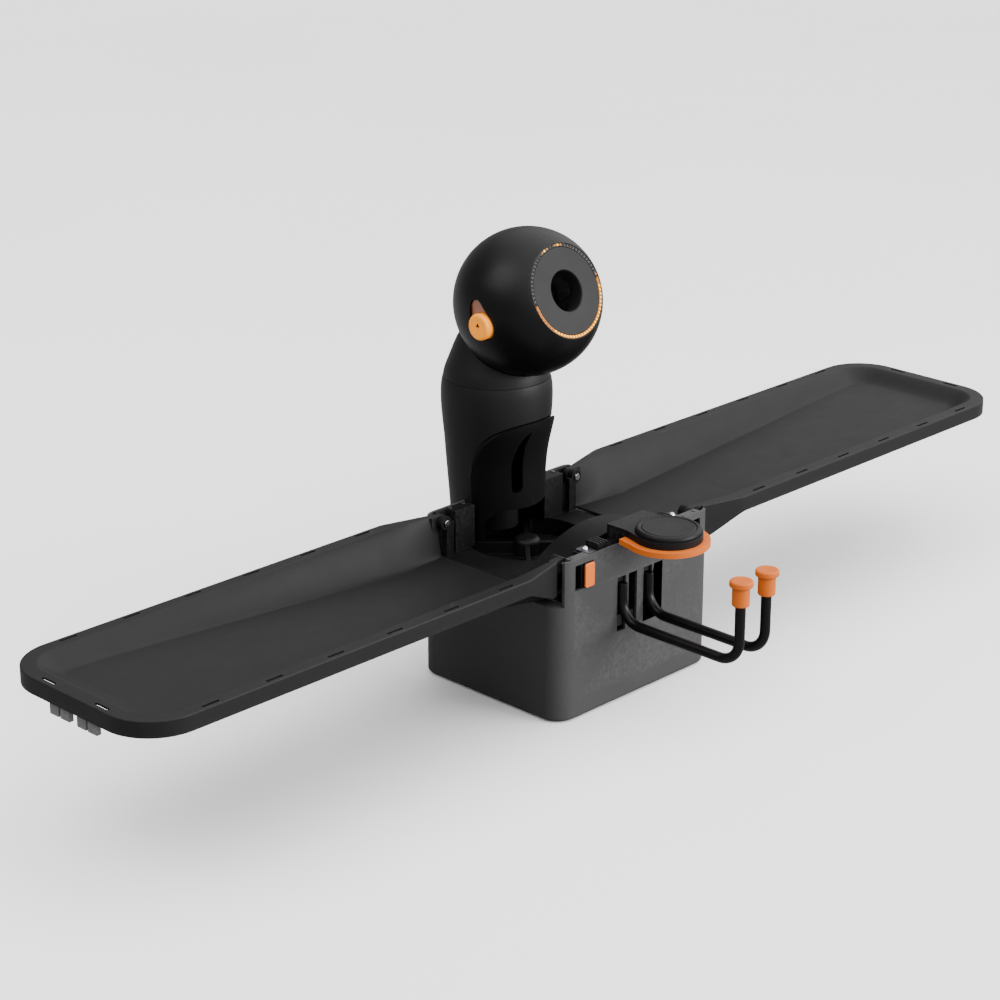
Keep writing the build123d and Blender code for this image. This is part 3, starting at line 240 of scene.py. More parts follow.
# Each plastic: colour, roughness, grain strength, grain pitch, mottling, wear on the edges
MATERIALS = {
    "shell_plastic": plastic("shell_plastic", grey(0.036, 0.001), 0.48, 0.07, 2400.0, 0.04, 0.25, spec=0.22),
    "cover_plastic": plastic("cover_plastic", grey(0.0020, 0.0002), 0.50, 0.08, 2400.0, 0.1, 0.15, spec=0.09),
    "head_plastic": plastic("head_plastic", grey(0.0022, 0.0003), 0.37, 0.04, 3000.0, 0.08, 0.10, spec=0.16),
    "deck_plastic": plastic("deck_plastic", grey(0.0034, 0.0003), 0.52, 0.10, 2200.0, 0.1, 0.22, spec=0.09),
    "tray_plastic": plastic("tray_plastic", grey(0.0072, 0.0003), 0.50, 0.10, 2000.0, 0.05, 0.30, spec=0.13),
    "black_nylon": plastic("black_nylon", grey(0.0036, 0.0003), 0.46, 0.12, 2200.0, 0.15, 0.28, spec=0.14),
    "orange_plastic": plastic("orange_plastic", (0.66, 0.125, 0.004), 0.42, 0.1, 2600.0, 0.05, 0.12, spec=0.35),
    "orange_rubber": plastic("orange_rubber", (0.46, 0.092, 0.002), 0.6, 0.15, 1900.0, 0.06, 0.1, spec=0.3),
    "black_rubber": plastic("black_rubber", grey(0.0028, 0.0003), 0.42, 0.12, 1900.0, 0.12, 0.15, spec=0.15),
    "lens_amber": lens("lens_amber", (0.24, 0.085, 0.035), 0.22),
    "ring_diffuser": glowing("ring_diffuser", (0.016, 0.014, 0.012), 0.0, (0.04, 0.036, 0.032)),
    "led_amber": glowing("led_bright", (0.9, 0.42, 0.01), 1.5, (1.0, 0.60, 0.03)),
    "steel": metal("steel", (0.62, 0.62, 0.64), 0.2, 0.15),
    "rod_coated": plastic("rod_coated", grey(0.002), 0.30, 0.05, 1400.0, 0.1, 0.12, spec=0.16),
    "metal_dark": metal("metal_dark", (0.09, 0.09, 0.10), 0.42, 0.35),
    "aluminium": metal("aluminium", (0.60, 0.61, 0.63), 0.34, 0.5, (60.0, 1.0, 1.0)),
    "tyre_rubber": plastic("tyre_rubber", (0.035, 0.033, 0.032), 0.7, 0.6, 1200.0, 0.2, 0.4),
    "pcb": board("pcb"),
    "battery_wrap": plastic("battery_wrap", (0.02, 0.06, 0.20), 0.3, 0.08, 800.0, 0.08, 0.3, coat=0.3),
}
# Finishes for single pieces whose shade differs from the rest of their slot
COLUMN_PLASTIC = plastic("column_plastic", grey(0.0075, 0.0003), 0.46, 0.06, 2400.0, 0.05, 0.18, spec=0.12)
FACE_PLASTIC = plastic("face_plastic", grey(0.009, 0.0004), 0.5, 0.06, 2600.0, 0.08, 0.15, spec=0.14)
LUG_PLASTIC = plastic("lug_plastic", grey(0.085, 0.003), 0.5, 0.14, 2000.0, 0.1, 0.3, spec=0.4)
# Weak glow for the fading ends of the shining arc, and painted glow standing in for light caught by the beads
# beside the two single lit ones
LED_FADE_AND_SPILL = glowing("led_fade_and_spill_glow", (0.34, 0.11, 0.015), 0.3, (0.50, 0.18, 0.03))
LED_OFF = glowing("led_off", (0.008, 0.0075, 0.007), 0.0, (0.02, 0.019, 0.018))
LIT_BAND = glowing("lit_band", (0.28, 0.085, 0.003), 0.3, (0.42, 0.15, 0.006))
LAMP_DISC = glowing("lamp_disc", (0.90, 0.27, 0.008), 0.22, (1.0, 0.36, 0.015))


# =================================================================================================
# Mesh helpers
# =================================================================================================
WELD = 0.004
FLAT = math.radians(0.6)


def piece(name, mesh, nodes, slot=None, material=None, bevel=0.0, segments=3, angle=32.0):
    """Make an object that stands for CAD nodes, rides on their body and wears their finish."""
    obj = bpy.data.objects.new(name, mesh)
    bpy.context.scene.collection.objects.link(obj)
    slot = slot or SLOT_OF[nodes[0]]
    mesh.materials.clear()
    mesh.materials.append(material or MATERIALS[slot])
    if bevel:
        edge = obj.modifiers.new("edges", "BEVEL")
        edge.width = bevel * MM
        edge.segments = segments
        edge.limit_method = "ANGLE"
        edge.angle_limit = math.radians(angle)
        edge.harden_normals = False
        edge.use_clamp_overlap = True
        edge.miter_outer = "MITER_ARC"
    smooth(obj, angle)
    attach(obj, BODY_OF[nodes[0]])
    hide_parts(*nodes)


def smooth(obj, angle):
    """Smooth shading with sharp edges kept, and face-weighted normals over the bevels."""
    obj.data.shade_smooth()
    for edge in obj.data.edges:
        edge.use_edge_sharp = False
    bm = bmesh.new()
    bm.from_mesh(obj.data)
    limit = math.radians(angle)
    for edge in bm.edges:
        if len(edge.link_faces) == 2 and edge.calc_face_angle(0.0) > limit:
            edge.smooth = False
    bm.to_mesh(obj.data)
    bm.free()
    weigh = obj.modifiers.new("normals", "WEIGHTED_NORMAL")
    weigh.keep_sharp = False


def from_node(node, bevel, material=None):
    """Rounded copy of a CAD node: welded, its flats made whole again, and its edges bevelled."""
    bm = bmesh.new()
    bm.from_mesh(NODES[node].data)
    bmesh.ops.remove_doubles(bm, verts=bm.verts, dist=WELD * MM)
    bmesh.ops.dissolve_limit(
        bm, angle_limit=FLAT, verts=bm.verts, edges=bm.edges, use_dissolve_boundaries=False
    )
    mesh = bpy.data.meshes.new(node + "_skin")
    bm.to_mesh(mesh)
    bm.free()
    piece(node + "_skin", mesh, [node], None, material, bevel)


def sheet_mesh(name, rows, close_rows=False, close_cols=False, cap_first=False, cap_last=False):
    """Quad mesh from equally long rows of points in mm."""
    bm = bmesh.new()
    grid = [[bm.verts.new(Vector(p) * MM) for p in row] for row in rows]
    across = len(rows[0])
    for i in range(len(rows) - (0 if close_rows else 1)):
        upper = grid[i]
        lower = grid[(i + 1) % len(rows)]
        for j in range(across - (0 if close_cols else 1)):
            k = (j + 1) % across
            bm.faces.new((upper[j], upper[k], lower[k], lower[j]))
    if cap_first:
        bm.faces.new(list(reversed(grid[0])))
    if cap_last:
        bm.faces.new(grid[-1])
    bmesh.ops.remove_doubles(bm, verts=bm.verts, dist=0.002 * MM)
    bmesh.ops.recalc_face_normals(bm, faces=bm.faces)
    mesh = bpy.data.meshes.new(name)
    bm.to_mesh(mesh)
    bm.free()
    return mesh


def lathe(name, centre, axis, profile, steps=96, closed=False):
    """Turned mesh: profile is (radius, height along the axis) in mm."""
    axis = Vector(axis).normalized()
    across = axis.cross(Vector((0.31, 0.22, 0.93))).normalized()
    third = axis.cross(across)
    rows = []
    for radius, along in profile:
        row = []
        for i in range(steps):
            a = 2 * math.pi * i / steps
            row.append(Vector(centre) + axis * along + (across * math.cos(a) + third * math.sin(a)) * radius)
        rows.append(row)
    return sheet_mesh(name, rows, closed, True)


def circle(centre, radius, steps):
    """Points of a circle in a plane, as pairs."""
    turns = [2 * math.pi * i / steps for i in range(steps)]
    return [(centre[0] + radius * math.cos(a), centre[1] + radius * math.sin(a)) for a in turns]


def rectangle(x0, x1, y0, y1, z):
    """Corners of a level rectangle at height z."""
    return [(x0, y0, z), (x1, y0, z), (x1, y1, z), (x0, y1, z)]


def rounded(points, radius, steps=3):
    """Soften the inner corners of an open profile."""
    out = [points[0]]
    for before, here, after in zip(points, points[1:], points[2:]):
        a = Vector(before) - Vector(here)
        b = Vector(after) - Vector(here)
        reach = min(radius, a.length * 0.45, b.length * 0.45)
        if reach < 1e-4:
            out.append(here)
            continue
        start = Vector(here) + a.normalized() * reach
        end = Vector(here) + b.normalized() * reach
        for i in range(steps + 1):
            t = i / steps
            out.append(tuple((1 - t) ** 2 * start + 2 * t * (1 - t) * Vector(here) + t * t * end))
    out.append(points[-1])
    return out


def prism(name, outline, direction, depth):
    """Closed prism from an outline of points in mm and a push along a direction."""
    bm = bmesh.new()
    push = Vector(direction) * depth
    low = [bm.verts.new(Vector(p) * MM) for p in outline]
    high = [bm.verts.new((Vector(p) + push) * MM) for p in outline]
    bm.faces.new(list(reversed(low)))
    bm.faces.new(high)
    for i in range(len(outline)):
        j = (i + 1) % len(outline)
        bm.faces.new((low[i], low[j], high[j], high[i]))
    bmesh.ops.recalc_face_normals(bm, faces=bm.faces)
    mesh = bpy.data.meshes.new(name)
    bm.to_mesh(mesh)
    bm.free()
    return mesh


def cut(mesh, cutters):
    """Subtract closed meshes from a mesh and return the result."""
    target = bpy.data.objects.new("cut_target", mesh)
    bpy.context.scene.collection.objects.link(target)
    tools = []
    for i, tool in enumerate(cutters):
        knife = bpy.data.objects.new(f"cut_tool_{i}", tool)
        bpy.context.scene.collection.objects.link(knife)
        tools.append(knife)
        trim = target.modifiers.new(f"cut_{i}", "BOOLEAN")
        trim.operation = "DIFFERENCE"
        trim.solver = "EXACT"
        trim.object = knife
    bpy.context.view_layer.update()
    result = bpy.data.meshes.new_from_object(target.evaluated_get(bpy.context.evaluated_depsgraph_get()))
    result.name = mesh.name + "_cut"
    for obj in [target] + tools:
        data = obj.data
        bpy.data.objects.remove(obj)
        bpy.data.meshes.remove(data)
    return result


def joined(name, meshes):
    """One mesh from several."""
    bm = bmesh.new()
    for mesh in meshes:
        bm.from_mesh(mesh)
    out = bpy.data.meshes.new(name)
    bm.to_mesh(out)
    bm.free()
    return out


# =================================================================================================
# Catch trays: one smooth pressed shell each, with rim, skirt and net-clip slots
# =================================================================================================
RIM_Z = 183.7
RIM_ROUND = 1.4
RIM_WIDTH = 16.0
SKIRT_Z = 166.5
BASIN_START = 108.0
SKIRT_START = 117.0
TRAY_FULL = 171.0
TRAY_END = 671.0
TRAY_NEAR = -109.9
TRAY_FAR = 115.4
MOUTH_NEAR = -95.3
MOUTH_FAR = 100.3
MOUTH_DEPTH = 45.6
FULL_DEPTH = 41.6
END_DEPTH = 13.6
DEPTH_END = 622.0
MOUTH_RUN = 8.5
FULL_RUN = 30.0
OUTER_RUN = 24.0
CORNER = 55.0
THICK = 2.3
CLIP_X = 203.0
CLIP_STEP = 77.5
CLIP_LENGTH = 21.0
CLIP_R = 1.75
HINGE_X = 104.0
HINGE_Z = 176.0
KNUCKLE_R = 8.0
PIN_R = 2.55


def lerp(a, b, t):
    return a + (b - a) * max(0.0, min(1.0, t))


def rise(t):
    """Wall profile from the rim down to the floor: soft lip, slope, and a wide fillet at the foot."""
    if t <= 0 or t >= 1:
        return float(t >= 1)
    eased = 3 * t * t - 2 * t * t * t
    return 0.6 * eased + 0.4 * math.sin(t * math.pi / 2)


def floor_depth(x):
    """How far the basin floor lies under the rim."""
    if x < TRAY_FULL:
        return lerp(MOUTH_DEPTH, FULL_DEPTH, (x - BASIN_START) / (TRAY_FULL - BASIN_START))
    return lerp(FULL_DEPTH, END_DEPTH, (x - TRAY_FULL) / (DEPTH_END - TRAY_FULL))


def side_edge(x, far):
    """Outer edge's y on either long side."""
    share = (x - SKIRT_START) / (TRAY_FULL - SKIRT_START)
    return lerp(MOUTH_FAR, TRAY_FAR, share) if far else lerp(MOUTH_NEAR, TRAY_NEAR, share)


def rim_width(x):
    """The rim is narrow at the hinge and widens to its full width."""
    return lerp(6.8, RIM_WIDTH, (x - 110.0) / (TRAY_FULL - 110.0))


def wall_run(x):
    """How far the basin wall leans in from the rim to the floor."""
    if x < TRAY_FULL:
        return lerp(MOUTH_RUN, FULL_RUN, (x - BASIN_START) / (TRAY_FULL - BASIN_START))
    return lerp(FULL_RUN, OUTER_RUN, (x - TRAY_FULL) / 440.0)


def skirt_bottom(x):
    """The skirt hangs lower next to the hinge."""
    return SKIRT_Z - lerp(21.0, 0.0, (x - 125.0) / (TRAY_FULL - 125.0))


STATIONS = 72
ARC = 14
END_WALL = 30.0
LEVELS = (
    [("skirt", t) for t in (0.0, 0.5, 1.0)]
    + [("lip", t) for t in (0.0, 0.35, 0.7, 1.0)]
    + [("rim", t) for t in (0.35, 0.9, 1.0)]
    + [("wall", t) for t in (0.03, 0.08, 0.16, 0.28, 0.42, 0.56, 0.70, 0.82, 0.91, 0.97, 1.0)]
    + [("floor", t) for t in (0.12, 0.3, 0.5, 0.7, 0.85, 1.0)]
)


def tray_point(kind, t, x, inset_cap, on_end):
    """Inset from the outer edge, and height, for one level at one place."""
    rim = rim_width(x)
    run = lerp(wall_run(x), END_WALL, on_end)
    if kind == "skirt":
        return 0.0, lerp(skirt_bottom(x), RIM_Z - RIM_ROUND, t)
    if kind == "lip":
        a = t * math.pi / 2
        return RIM_ROUND * (1 - math.cos(a)), RIM_Z - RIM_ROUND + RIM_ROUND * math.sin(a)
    if kind == "rim":
        return lerp(RIM_ROUND, rim, t), RIM_Z
    if kind == "wall":
        return rim + run * t, RIM_Z - floor_depth(x) * rise(t)
    return lerp(rim + run, inset_cap, t), RIM_Z - floor_depth(x)


def tray_row(kind, t):
    """One open U-shaped line of points at a level: near side, rounded outer end, far side."""
    cap = (TRAY_FAR - TRAY_NEAR) / 2
    end_inset = tray_point(kind, t, 640.0, cap, 1.0)[0]
    radius = max(CORNER - end_inset, 4.0)
    start = SKIRT_START if kind in ("skirt", "lip") else BASIN_START
    stop = TRAY_END - end_inset - radius
    near = []
    far = []
    for i in range(STATIONS):
        s = i / (STATIONS - 1)
        x = start + (stop - start) * s
        blend = max(0.0, (x - 560.0) / 60.0)
        narrow = (side_edge(x, True) - side_edge(x, False)) / 2
        inset, z = tray_point(kind, t, x, narrow, min(1.0, blend) * 0.5)
        near.append((x, side_edge(x, False) + inset, z))
        far.append((x, side_edge(x, True) - inset, z))
    arc = []
    y_low = near[-1][1]
    y_high = far[-1][1]
    x_end = TRAY_END - end_inset
    ry = min(radius, (y_high - y_low) / 2)
    for i in range(1, ARC + 1):
        a = math.pi / 2 * i / ARC
        arc.append((stop + radius * math.sin(a), y_low + ry * (1 - math.cos(a))))
    for i in range(1, 12):
        arc.append((x_end, lerp(y_low + ry, y_high - ry, i / 12)))
    for i in range(ARC, 0, -1):
        a = math.pi / 2 * i / ARC
        arc.append((stop + radius * math.sin(a), y_high - ry * (1 - math.cos(a))))
    bend = [(x, y, tray_point(kind, t, min(x, 655.0), cap, 1.0)[1]) for x, y in arc]
    return near + bend + list(reversed(far))


def clip_slot(x, y, turned):
    """Cutter for one net-clip slot through the rim."""
    points = []
    half = CLIP_LENGTH / 2 - CLIP_R
    for i in range(24):
        a = 2 * math.pi * i / 24
        u = CLIP_R * math.cos(a) + (half if math.cos(a) > 0 else -half)
        v = CLIP_R * math.sin(a)
        points.append((x + (v if turned else u), y + (u if turned else v), 172.0))
    return prism("slot", points, (0, 0, 1), 20.0)


def tray_mesh():
    """Right-hand tray shell, closed and cut."""
    rows = [tray_row(kind, t) for kind, t in LEVELS]
    mesh = sheet_mesh("tray_sheet", rows)
    bm = bmesh.new()
    bm.from_mesh(mesh)
    top = max(bm.faces, key=lambda f: f.calc_center_median().z)
    if top.normal.z < 0:
        bmesh.ops.reverse_faces(bm, faces=bm.faces)
    bm.to_mesh(mesh)
    bm.free()
    holder = bpy.data.objects.new("tray_holder", mesh)
    bpy.context.scene.collection.objects.link(holder)
    wall = holder.modifiers.new("wall", "SOLIDIFY")
    wall.thickness = THICK * MM
    wall.offset = -1.0
    wall.use_even_offset = True
    bpy.context.view_layer.update()
    solid = bpy.data.meshes.new_from_object(holder.evaluated_get(bpy.context.evaluated_depsgraph_get()))
    solid.name = "tray_solid"
    bpy.data.objects.remove(holder)
    slots = [clip_slot(CLIP_X + CLIP_STEP * i, y, False) for i in range(6) for y in (-104.3, 109.6)]
    slots += [clip_slot(663.5, y, True) for y in (42.0, -38.5)]
    return cut(solid, [joined("slots", slots)])


def mirrored(mesh, name):
    """Mirror image across X = 0, with its faces turned the right way out."""
    bm = bmesh.new()
    bm.from_mesh(mesh)
    bmesh.ops.transform(bm, matrix=Matrix.Scale(-1, 4, (1, 0, 0)), verts=bm.verts)
    bmesh.ops.reverse_faces(bm, faces=bm.faces)
    out = bpy.data.meshes.new(name)
    bm.to_mesh(out)
    bm.free()
    return out


def ribs_mesh():
    """Stiffening ribs under the rim, between the skirt and the basin."""
    bars = []
    for i in range(5):
        x = 240.0 + CLIP_STEP * i
        for y in (-106.5, 99.0):
            bars.append(prism("rib", rectangle(x, x + 1.8, y, y + 11.5, 168.5), (0, 0, 1), 12.2))
    return joined("ribs", bars)


def knuckle_mesh():
    """Hinge knuckles with their gussets, on the right-hand tray."""
    parts = []
    for low, high in ((-91.5, -84.0), (89.0, 96.5)):
        outline = []
        for i in range(40):
            a = math.pi / 2 + math.pi * i / 39
            outline.append((HINGE_X + KNUCKLE_R * math.cos(a), low, HINGE_Z + KNUCKLE_R * math.sin(a)))
        outline += [(119.0, low, 168.0), (119.0, low, 183.4), (105.0, low, 183.6)]
        body = prism("knuckle", outline, (0, 1, 0), high - low)
        hole = [(x, low - 1, z) for x, z in circle((HINGE_X, HINGE_Z), PIN_R, 32)]
        parts.append(cut(body, [prism("hole", hole, (0, 1, 0), high - low + 2)]))
    return joined("knuckles", parts)


tray_right = tray_mesh()
tray_left = mirrored(tray_right, "tray_left_shell")
knuckles_right = knuckle_mesh()
knuckles_left = mirrored(knuckles_right, "knuckles_left")
ribs_right = ribs_mesh()
ribs_left = mirrored(ribs_right, "ribs_left")
for label, shell, knuckle, ribs in (
    ("right", tray_right, knuckles_right, ribs_right),
    ("left", tray_left, knuckles_left, ribs_left),
):
    node = "tray_" + label
    piece(node + "_shell", shell, [node], bevel=0.35, segments=2, angle=40)
    piece(node + "_knuckles", knuckle, [node], bevel=0.5)
    piece(node + "_ribs", ribs, [node], bevel=0.25, segments=2)

# =================================================================================================
# Head: high-resolution shell halves, turned about the barrel
# =================================================================================================
FACE_T = 62.0
SEAT_T = 57.0
SHELL_IN = 78.0
HALF_GAP = 0.15
LAMP = (52.0, 400.0)
LAMP_R = 15.8
LAMP_X = 71.9
MARK_X = 85.0
MARK = (51.6, 402.0)
MARK_R = 2.6
TIP = (60.0, 419.0)
TIP_R = 8.8
LENS_GAP = 0.6
DISC_CLEAR = 14.7
BEADS = 72
BEAD_RING = 49.5


def teardrop(grow, x):
    """Lamp outline on the head's side: a large round foot and a smaller round tip."""
    big = LAMP_R + grow
    small = TIP_R + grow
    dy, dz = TIP[0] - LAMP[0], TIP[1] - LAMP[1]
    axis = math.atan2(dz, dy)
    spread = math.acos((big - small) / math.hypot(dy, dz))
    points = []
    for i in range(49):
        a = axis + spread + (2 * math.pi - 2 * spread) * i / 48
        points.append((x, LAMP[0] + big * math.cos(a), LAMP[1] + big * math.sin(a)))
    for i in range(25):
        a = axis - spread + 2 * spread * i / 24
        points.append((x, TIP[0] + small * math.cos(a), TIP[1] + small * math.sin(a)))
    return points


def swing(angle, reach, x):
    """Point at a distance from the head's centre, at an angle from straight down."""
    a = math.radians(angle)
    return (x, HEAD.y + reach * math.sin(a), HEAD.z - reach * math.cos(a))


def head_half(side):
    """One half of the head shell: an outer and an inner sphere joined round the face opening."""
    profile = []
    start = math.acos(FACE_T / HEAD_R)
    for i in range(97):
        a = start + (math.pi - start) * i / 96
        profile.append((HEAD_R * math.sin(a), HEAD_R * math.cos(a)))
    inner_start = math.acos(SEAT_T / SHELL_IN)
    for i in range(65):
        a = math.pi - (math.pi - inner_start) * i / 64
        profile.append((SHELL_IN * math.sin(a), SHELL_IN * math.cos(a)))
    profile += [(51.3, SEAT_T), (51.3, FACE_T - 0.5), (51.7, FACE_T)]
    ball = lathe("ball", HEAD, BARREL, profile, 160, True)
    half = HALF_GAP * side
    keep = [(half, -60, 300), (half, 180, 300), (half, 180, 520), (half, -60, 520)]
    away = prism("away", keep, (-side, 0, 0), 120)
    wedge = [swing(0, 0, -33), swing(-18.5, 120, -33), swing(17.5, 120, -33), swing(53.5, 120, -33)]
    slot = prism("slot", wedge, (1, 0, 0), 66)
    drop = prism("drop", teardrop(0.0, 60.0 * side), (side, 0, 0), 30)
    return cut(ball, [away, slot, drop])


for side, label in ((1, "right"), (-1, "left")):
    piece(f"head_{label}", head_half(side), [f"head_shell_{label}"], bevel=0.45, segments=3, angle=34)

muzzle_profile = rounded(
    [
        (47.5, 56.0),
        (47.5, 61.2),
        (46.9, 61.4),
        (23.0, 61.4),
        (22.4, 60.8),
        (21.95, 59.6),
        (21.9, 44.0),
        (24.9, 44.0),
        (24.9, 56.0),
        (47.5, 56.0),
    ],
    0.3,
)
muzzle_face = lathe("muzzle_face", HEAD, BARREL, muzzle_profile, 128)
piece("muzzle_face", muzzle_face, ["muzzle"], material=FACE_PLASTIC, angle=40)

RING = [(47.85, SEAT_T), (47.85, 61.2), (48.1, 61.6), (50.9, 61.6), (51.15, 61.2), (51.15, SEAT_T)]
BEAD_PROFILE = [(1.25, -0.3), (1.2, 0.2), (0.95, 0.6), (0.5, 0.85), (0.02, 0.92)]
LIT_FROM = 84.0
LIT_TO = 262.0


def clockwise(angle):
    """Direction from the barrel line at a clock angle in radians, as the player sees the face."""
    return LIFT * math.cos(angle) + SIDE * math.sin(angle)


def band(first, last):
    """Arc of the light ring between two clock angles, in degrees, closed at its ends."""
    steps = int((last - first) / 2.5)
    rows = []
    for i in range(steps + 1):
        out = clockwise(math.radians(first + (last - first) * i / steps))
        rows.append([HEAD + BARREL * along + out * radius for radius, along in RING])
    return sheet_mesh("band", rows, False, True, True, True)


piece("light_ring_lit", band(LIT_FROM, LIT_TO), ["light_ring"], material=LIT_BAND, angle=40)
piece("light_ring_band", band(LIT_TO, LIT_FROM + 360.0), ["light_ring"], angle=40)


def bead_mesh(clock_test):
    """Domed light beads at the clock angles that pass the test, seen from the player's side."""
    domes = []
    for i in range(BEADS):
        clock = 360.0 * i / BEADS
        if clock_test(clock):
            centre = HEAD + BARREL * 61.7 + clockwise(math.radians(clock)) * BEAD_RING
            domes.append(lathe("bead", centre, BARREL, BEAD_PROFILE, 14))
    return joined("beads", domes)


def bright(clock):
    """The lower right of the ring and two beads near its top shine."""
    return 92 <= clock <= 222 or clock in (5.0, 340.0)


def dim(clock):
    """The shining arc fades at its ends, and the beads beside the two single ones get a weak painted glow that
    stands in for the light they catch.
    """
    return 222 < clock <= 262 or 80 <= clock < 92 or clock in (0.0, 10.0, 335.0, 345.0)


def unlit(clock):
    """The rest of the ring is dark."""
    return not bright(clock) and not dim(clock)


piece("beads_bright", bead_mesh(bright), ["led_beads"])
# Painted glow: beads beside the two single lit beads glow weakly in place of the light they catch; the arc's
# ends fade
piece("beads_fade_and_spill_glow", bead_mesh(dim), ["led_beads"], material=LED_FADE_AND_SPILL)
piece("beads_off", bead_mesh(unlit), ["led_beads"], material=LED_OFF)

# ---- side lamps ---------------------------------------------------------------------------------
discs = []
marks = []
lenses = []
KNOB = [
    (0.02, 13.2),
    (6.0, 13.3),
    (10.4, 13.5),
    (11.6, 13.55),
    (13.2, 13.1),
    (14.1, 12.0),
    (14.4, 10.6),
    (14.4, 0.0),
]
for side in (1, -1):
    outward = (side, 0, 0)
    discs.append(lathe("disc", (LAMP_X * side, *LAMP), outward, rounded(KNOB, 1.0) + [(0.02, 0.0)], 84))
    triangle = []
    for i in range(3):
        a = math.radians(90 + 120 * i)
        triangle.append((MARK_X * side, MARK[0] + MARK_R * math.cos(a), MARK[1] + MARK_R * math.sin(a)))
    marks.append(prism("mark", triangle, outward, 0.9))
    keep_out = [(70.0 * side, y, z) for y, z in circle(LAMP, DISC_CLEAR, 48)]
    corners = ((10.0, 375.0), (100.0, 375.0), (100.0, 402.0), (10.0, 402.0))
    low_half = [(70.0 * side, y, z) for y, z in corners]
    body = prism("lens", teardrop(-LENS_GAP, LAMP_X * side), outward, 5.5)
    lenses.append(cut(body, [prism("keep", keep_out, outward, 12), prism("low", low_half, outward, 12)]))
piece("lamp_discs", joined("lamp_discs", discs), ["side_discs"], material=LAMP_DISC, angle=40)
piece("lamp_marks", joined("lamp_marks", marks), ["side_marks"], bevel=0.08, segments=2)
piece("lamp_lenses", joined("lamp_lenses", lenses), ["side_lenses"], bevel=0.5)

# =================================================================================================
# Clamp puck, hooks and caps
# =================================================================================================
puck = rounded(
    [
        (0.02, 204.35),
        (14.0, 204.5),
        (26.0, 204.9),
        (28.0, 205.0),
        (28.8, 204.3),
        (29.6, 204.3),
        (30.6, 205.3),
        (33.2, 205.1),
        (34.9, 203.8),
        (35.5, 201.6),
        (35.5, 200.0),
        (0.02, 200.0),
    ],
    0.6,
)
PUCK_Y = -146
piece("tongue_puck", lathe("tongue_puck", (0, PUCK_Y, 0), (0, 0, 1), puck, 128), ["clamp_puck"], angle=40)

ROD_Y = -107.0
ROD_TOP = 138.0
ROD_LOW = 93.5
ROD_TIP = -268.0
ROD_END = 175.0
ROD_R = 5.5
BEND = 25.0


def rod_path(x):
    """Centre line of one hook in mm, with its two bends divided finely."""
    high = ROD_LOW + BEND
    points = [(x, ROD_Y, ROD_TOP), (x, ROD_Y, ROD_TOP - 7.0)]
    for i in range(17):
        a = math.pi / 2 * i / 16
        points.append((x, ROD_Y - BEND + BEND * math.cos(a), high - BEND * math.sin(a)))
    for i in range(1, 6):
        points.append((x, lerp(ROD_Y - BEND, ROD_TIP + BEND, i / 6), ROD_LOW))
    for i in range(17):
        a = math.pi / 2 * i / 16
        points.append((x, ROD_TIP + BEND - BEND * math.sin(a), high - BEND * math.cos(a)))
    points += [(x, ROD_TIP, ROD_END - 25.0), (x, ROD_TIP, ROD_END)]
    return points


def rod_mesh(x):
    """Round rod swept along its centre line."""
    path = rod_path(x)
    rows = []
    for i, here in enumerate(path):
        back = Vector(path[max(i - 1, 0)])
        ahead = Vector(path[min(i + 1, len(path) - 1)])
        way = (ahead - back).normalized()
        up = way.cross(SIDE)
        rows.append([Vector(here) + SIDE * u + up * v for u, v in circle((0, 0), ROD_R, 36)])
    return sheet_mesh("rod", rows, False, True, True, True)


CAP_PROFILE = rounded(
    [
        (5.55, 159.0),
        (8.4, 159.0),
        (9.3, 160.2),
        (9.3, 178.6),
        (10.4, 179.8),
        (12.0, 180.4),
        (12.5, 181.4),
        (12.5, 185.6),
        (11.6, 186.7),
        (9.6, 187.0),
        (0.02, 186.6),
        (0.02, 176.2),
        (5.55, 176.2),
        (5.55, 159.0),
    ],
    0.6,
)
for label, x in (("left", -27.0), ("right", 14.8)):
    piece(f"hook_{label}_rod", rod_mesh(x), [f"hook_rod_{label}"], bevel=0.6, segments=2)
    slider = prism("slider", rectangle(x - 7, x + 7, -102.3, -91.9, 116.0), (0, 0, 1), 30)
    neck = prism("neck", rectangle(x - 4, x + 4, ROD_Y, -101.0, 118.0), (0, 0, 1), 20)
    carriage = joined("carriage", [slider, neck])
    piece(f"hook_{label}_slider", carriage, [f"hook_rod_{label}"], slot="black_nylon", bevel=0.6)
    cap = lathe(f"hook_{label}_cap", (x, ROD_TIP, 0), (0, 0, 1), CAP_PROFILE, 72)
    piece(f"hook_{label}_grip", cap, [f"hook_cap_{label}"], angle=40)


def rounded_block(x0, x1, y0, y1, z0, z1, corner):
    """Block whose outline in the X-Z plane has round corners, pushed from y0 to y1."""
    outline = []
    for cx, cz, begin in (
        (x1 - corner, z1 - corner, 0),
        (x0 + corner, z1 - corner, 90),
        (x0 + corner, z0 + corner, 180),
        (x1 - corner, z0 + corner, 270),
    ):
        for i in range(9):
            a = math.radians(begin + 90 * i / 8)
            outline.append((cx + corner * math.cos(a), y0, cz + corner * math.sin(a)))
    return prism("block", outline, (0, 1, 0), y1 - y0)


for label, x0, x1 in (("left", -88.0, -73.2), ("right", 73.2, 88.0)):
    body = rounded_block(x0, x1, -107.0, -100.0, 149.2, 176.8, 3.0)
    piece(f"button_{label}_body", body, [f"button_{label}"], slot="black_nylon", bevel=0.4)
    pad = rounded_block(x0 + 0.5, x1 - 0.2, -109.2, -106.9, 149.7, 176.3, 2.6)
    piece(f"button_{label}_pad", pad, [f"button_{label}"], bevel=0.7)

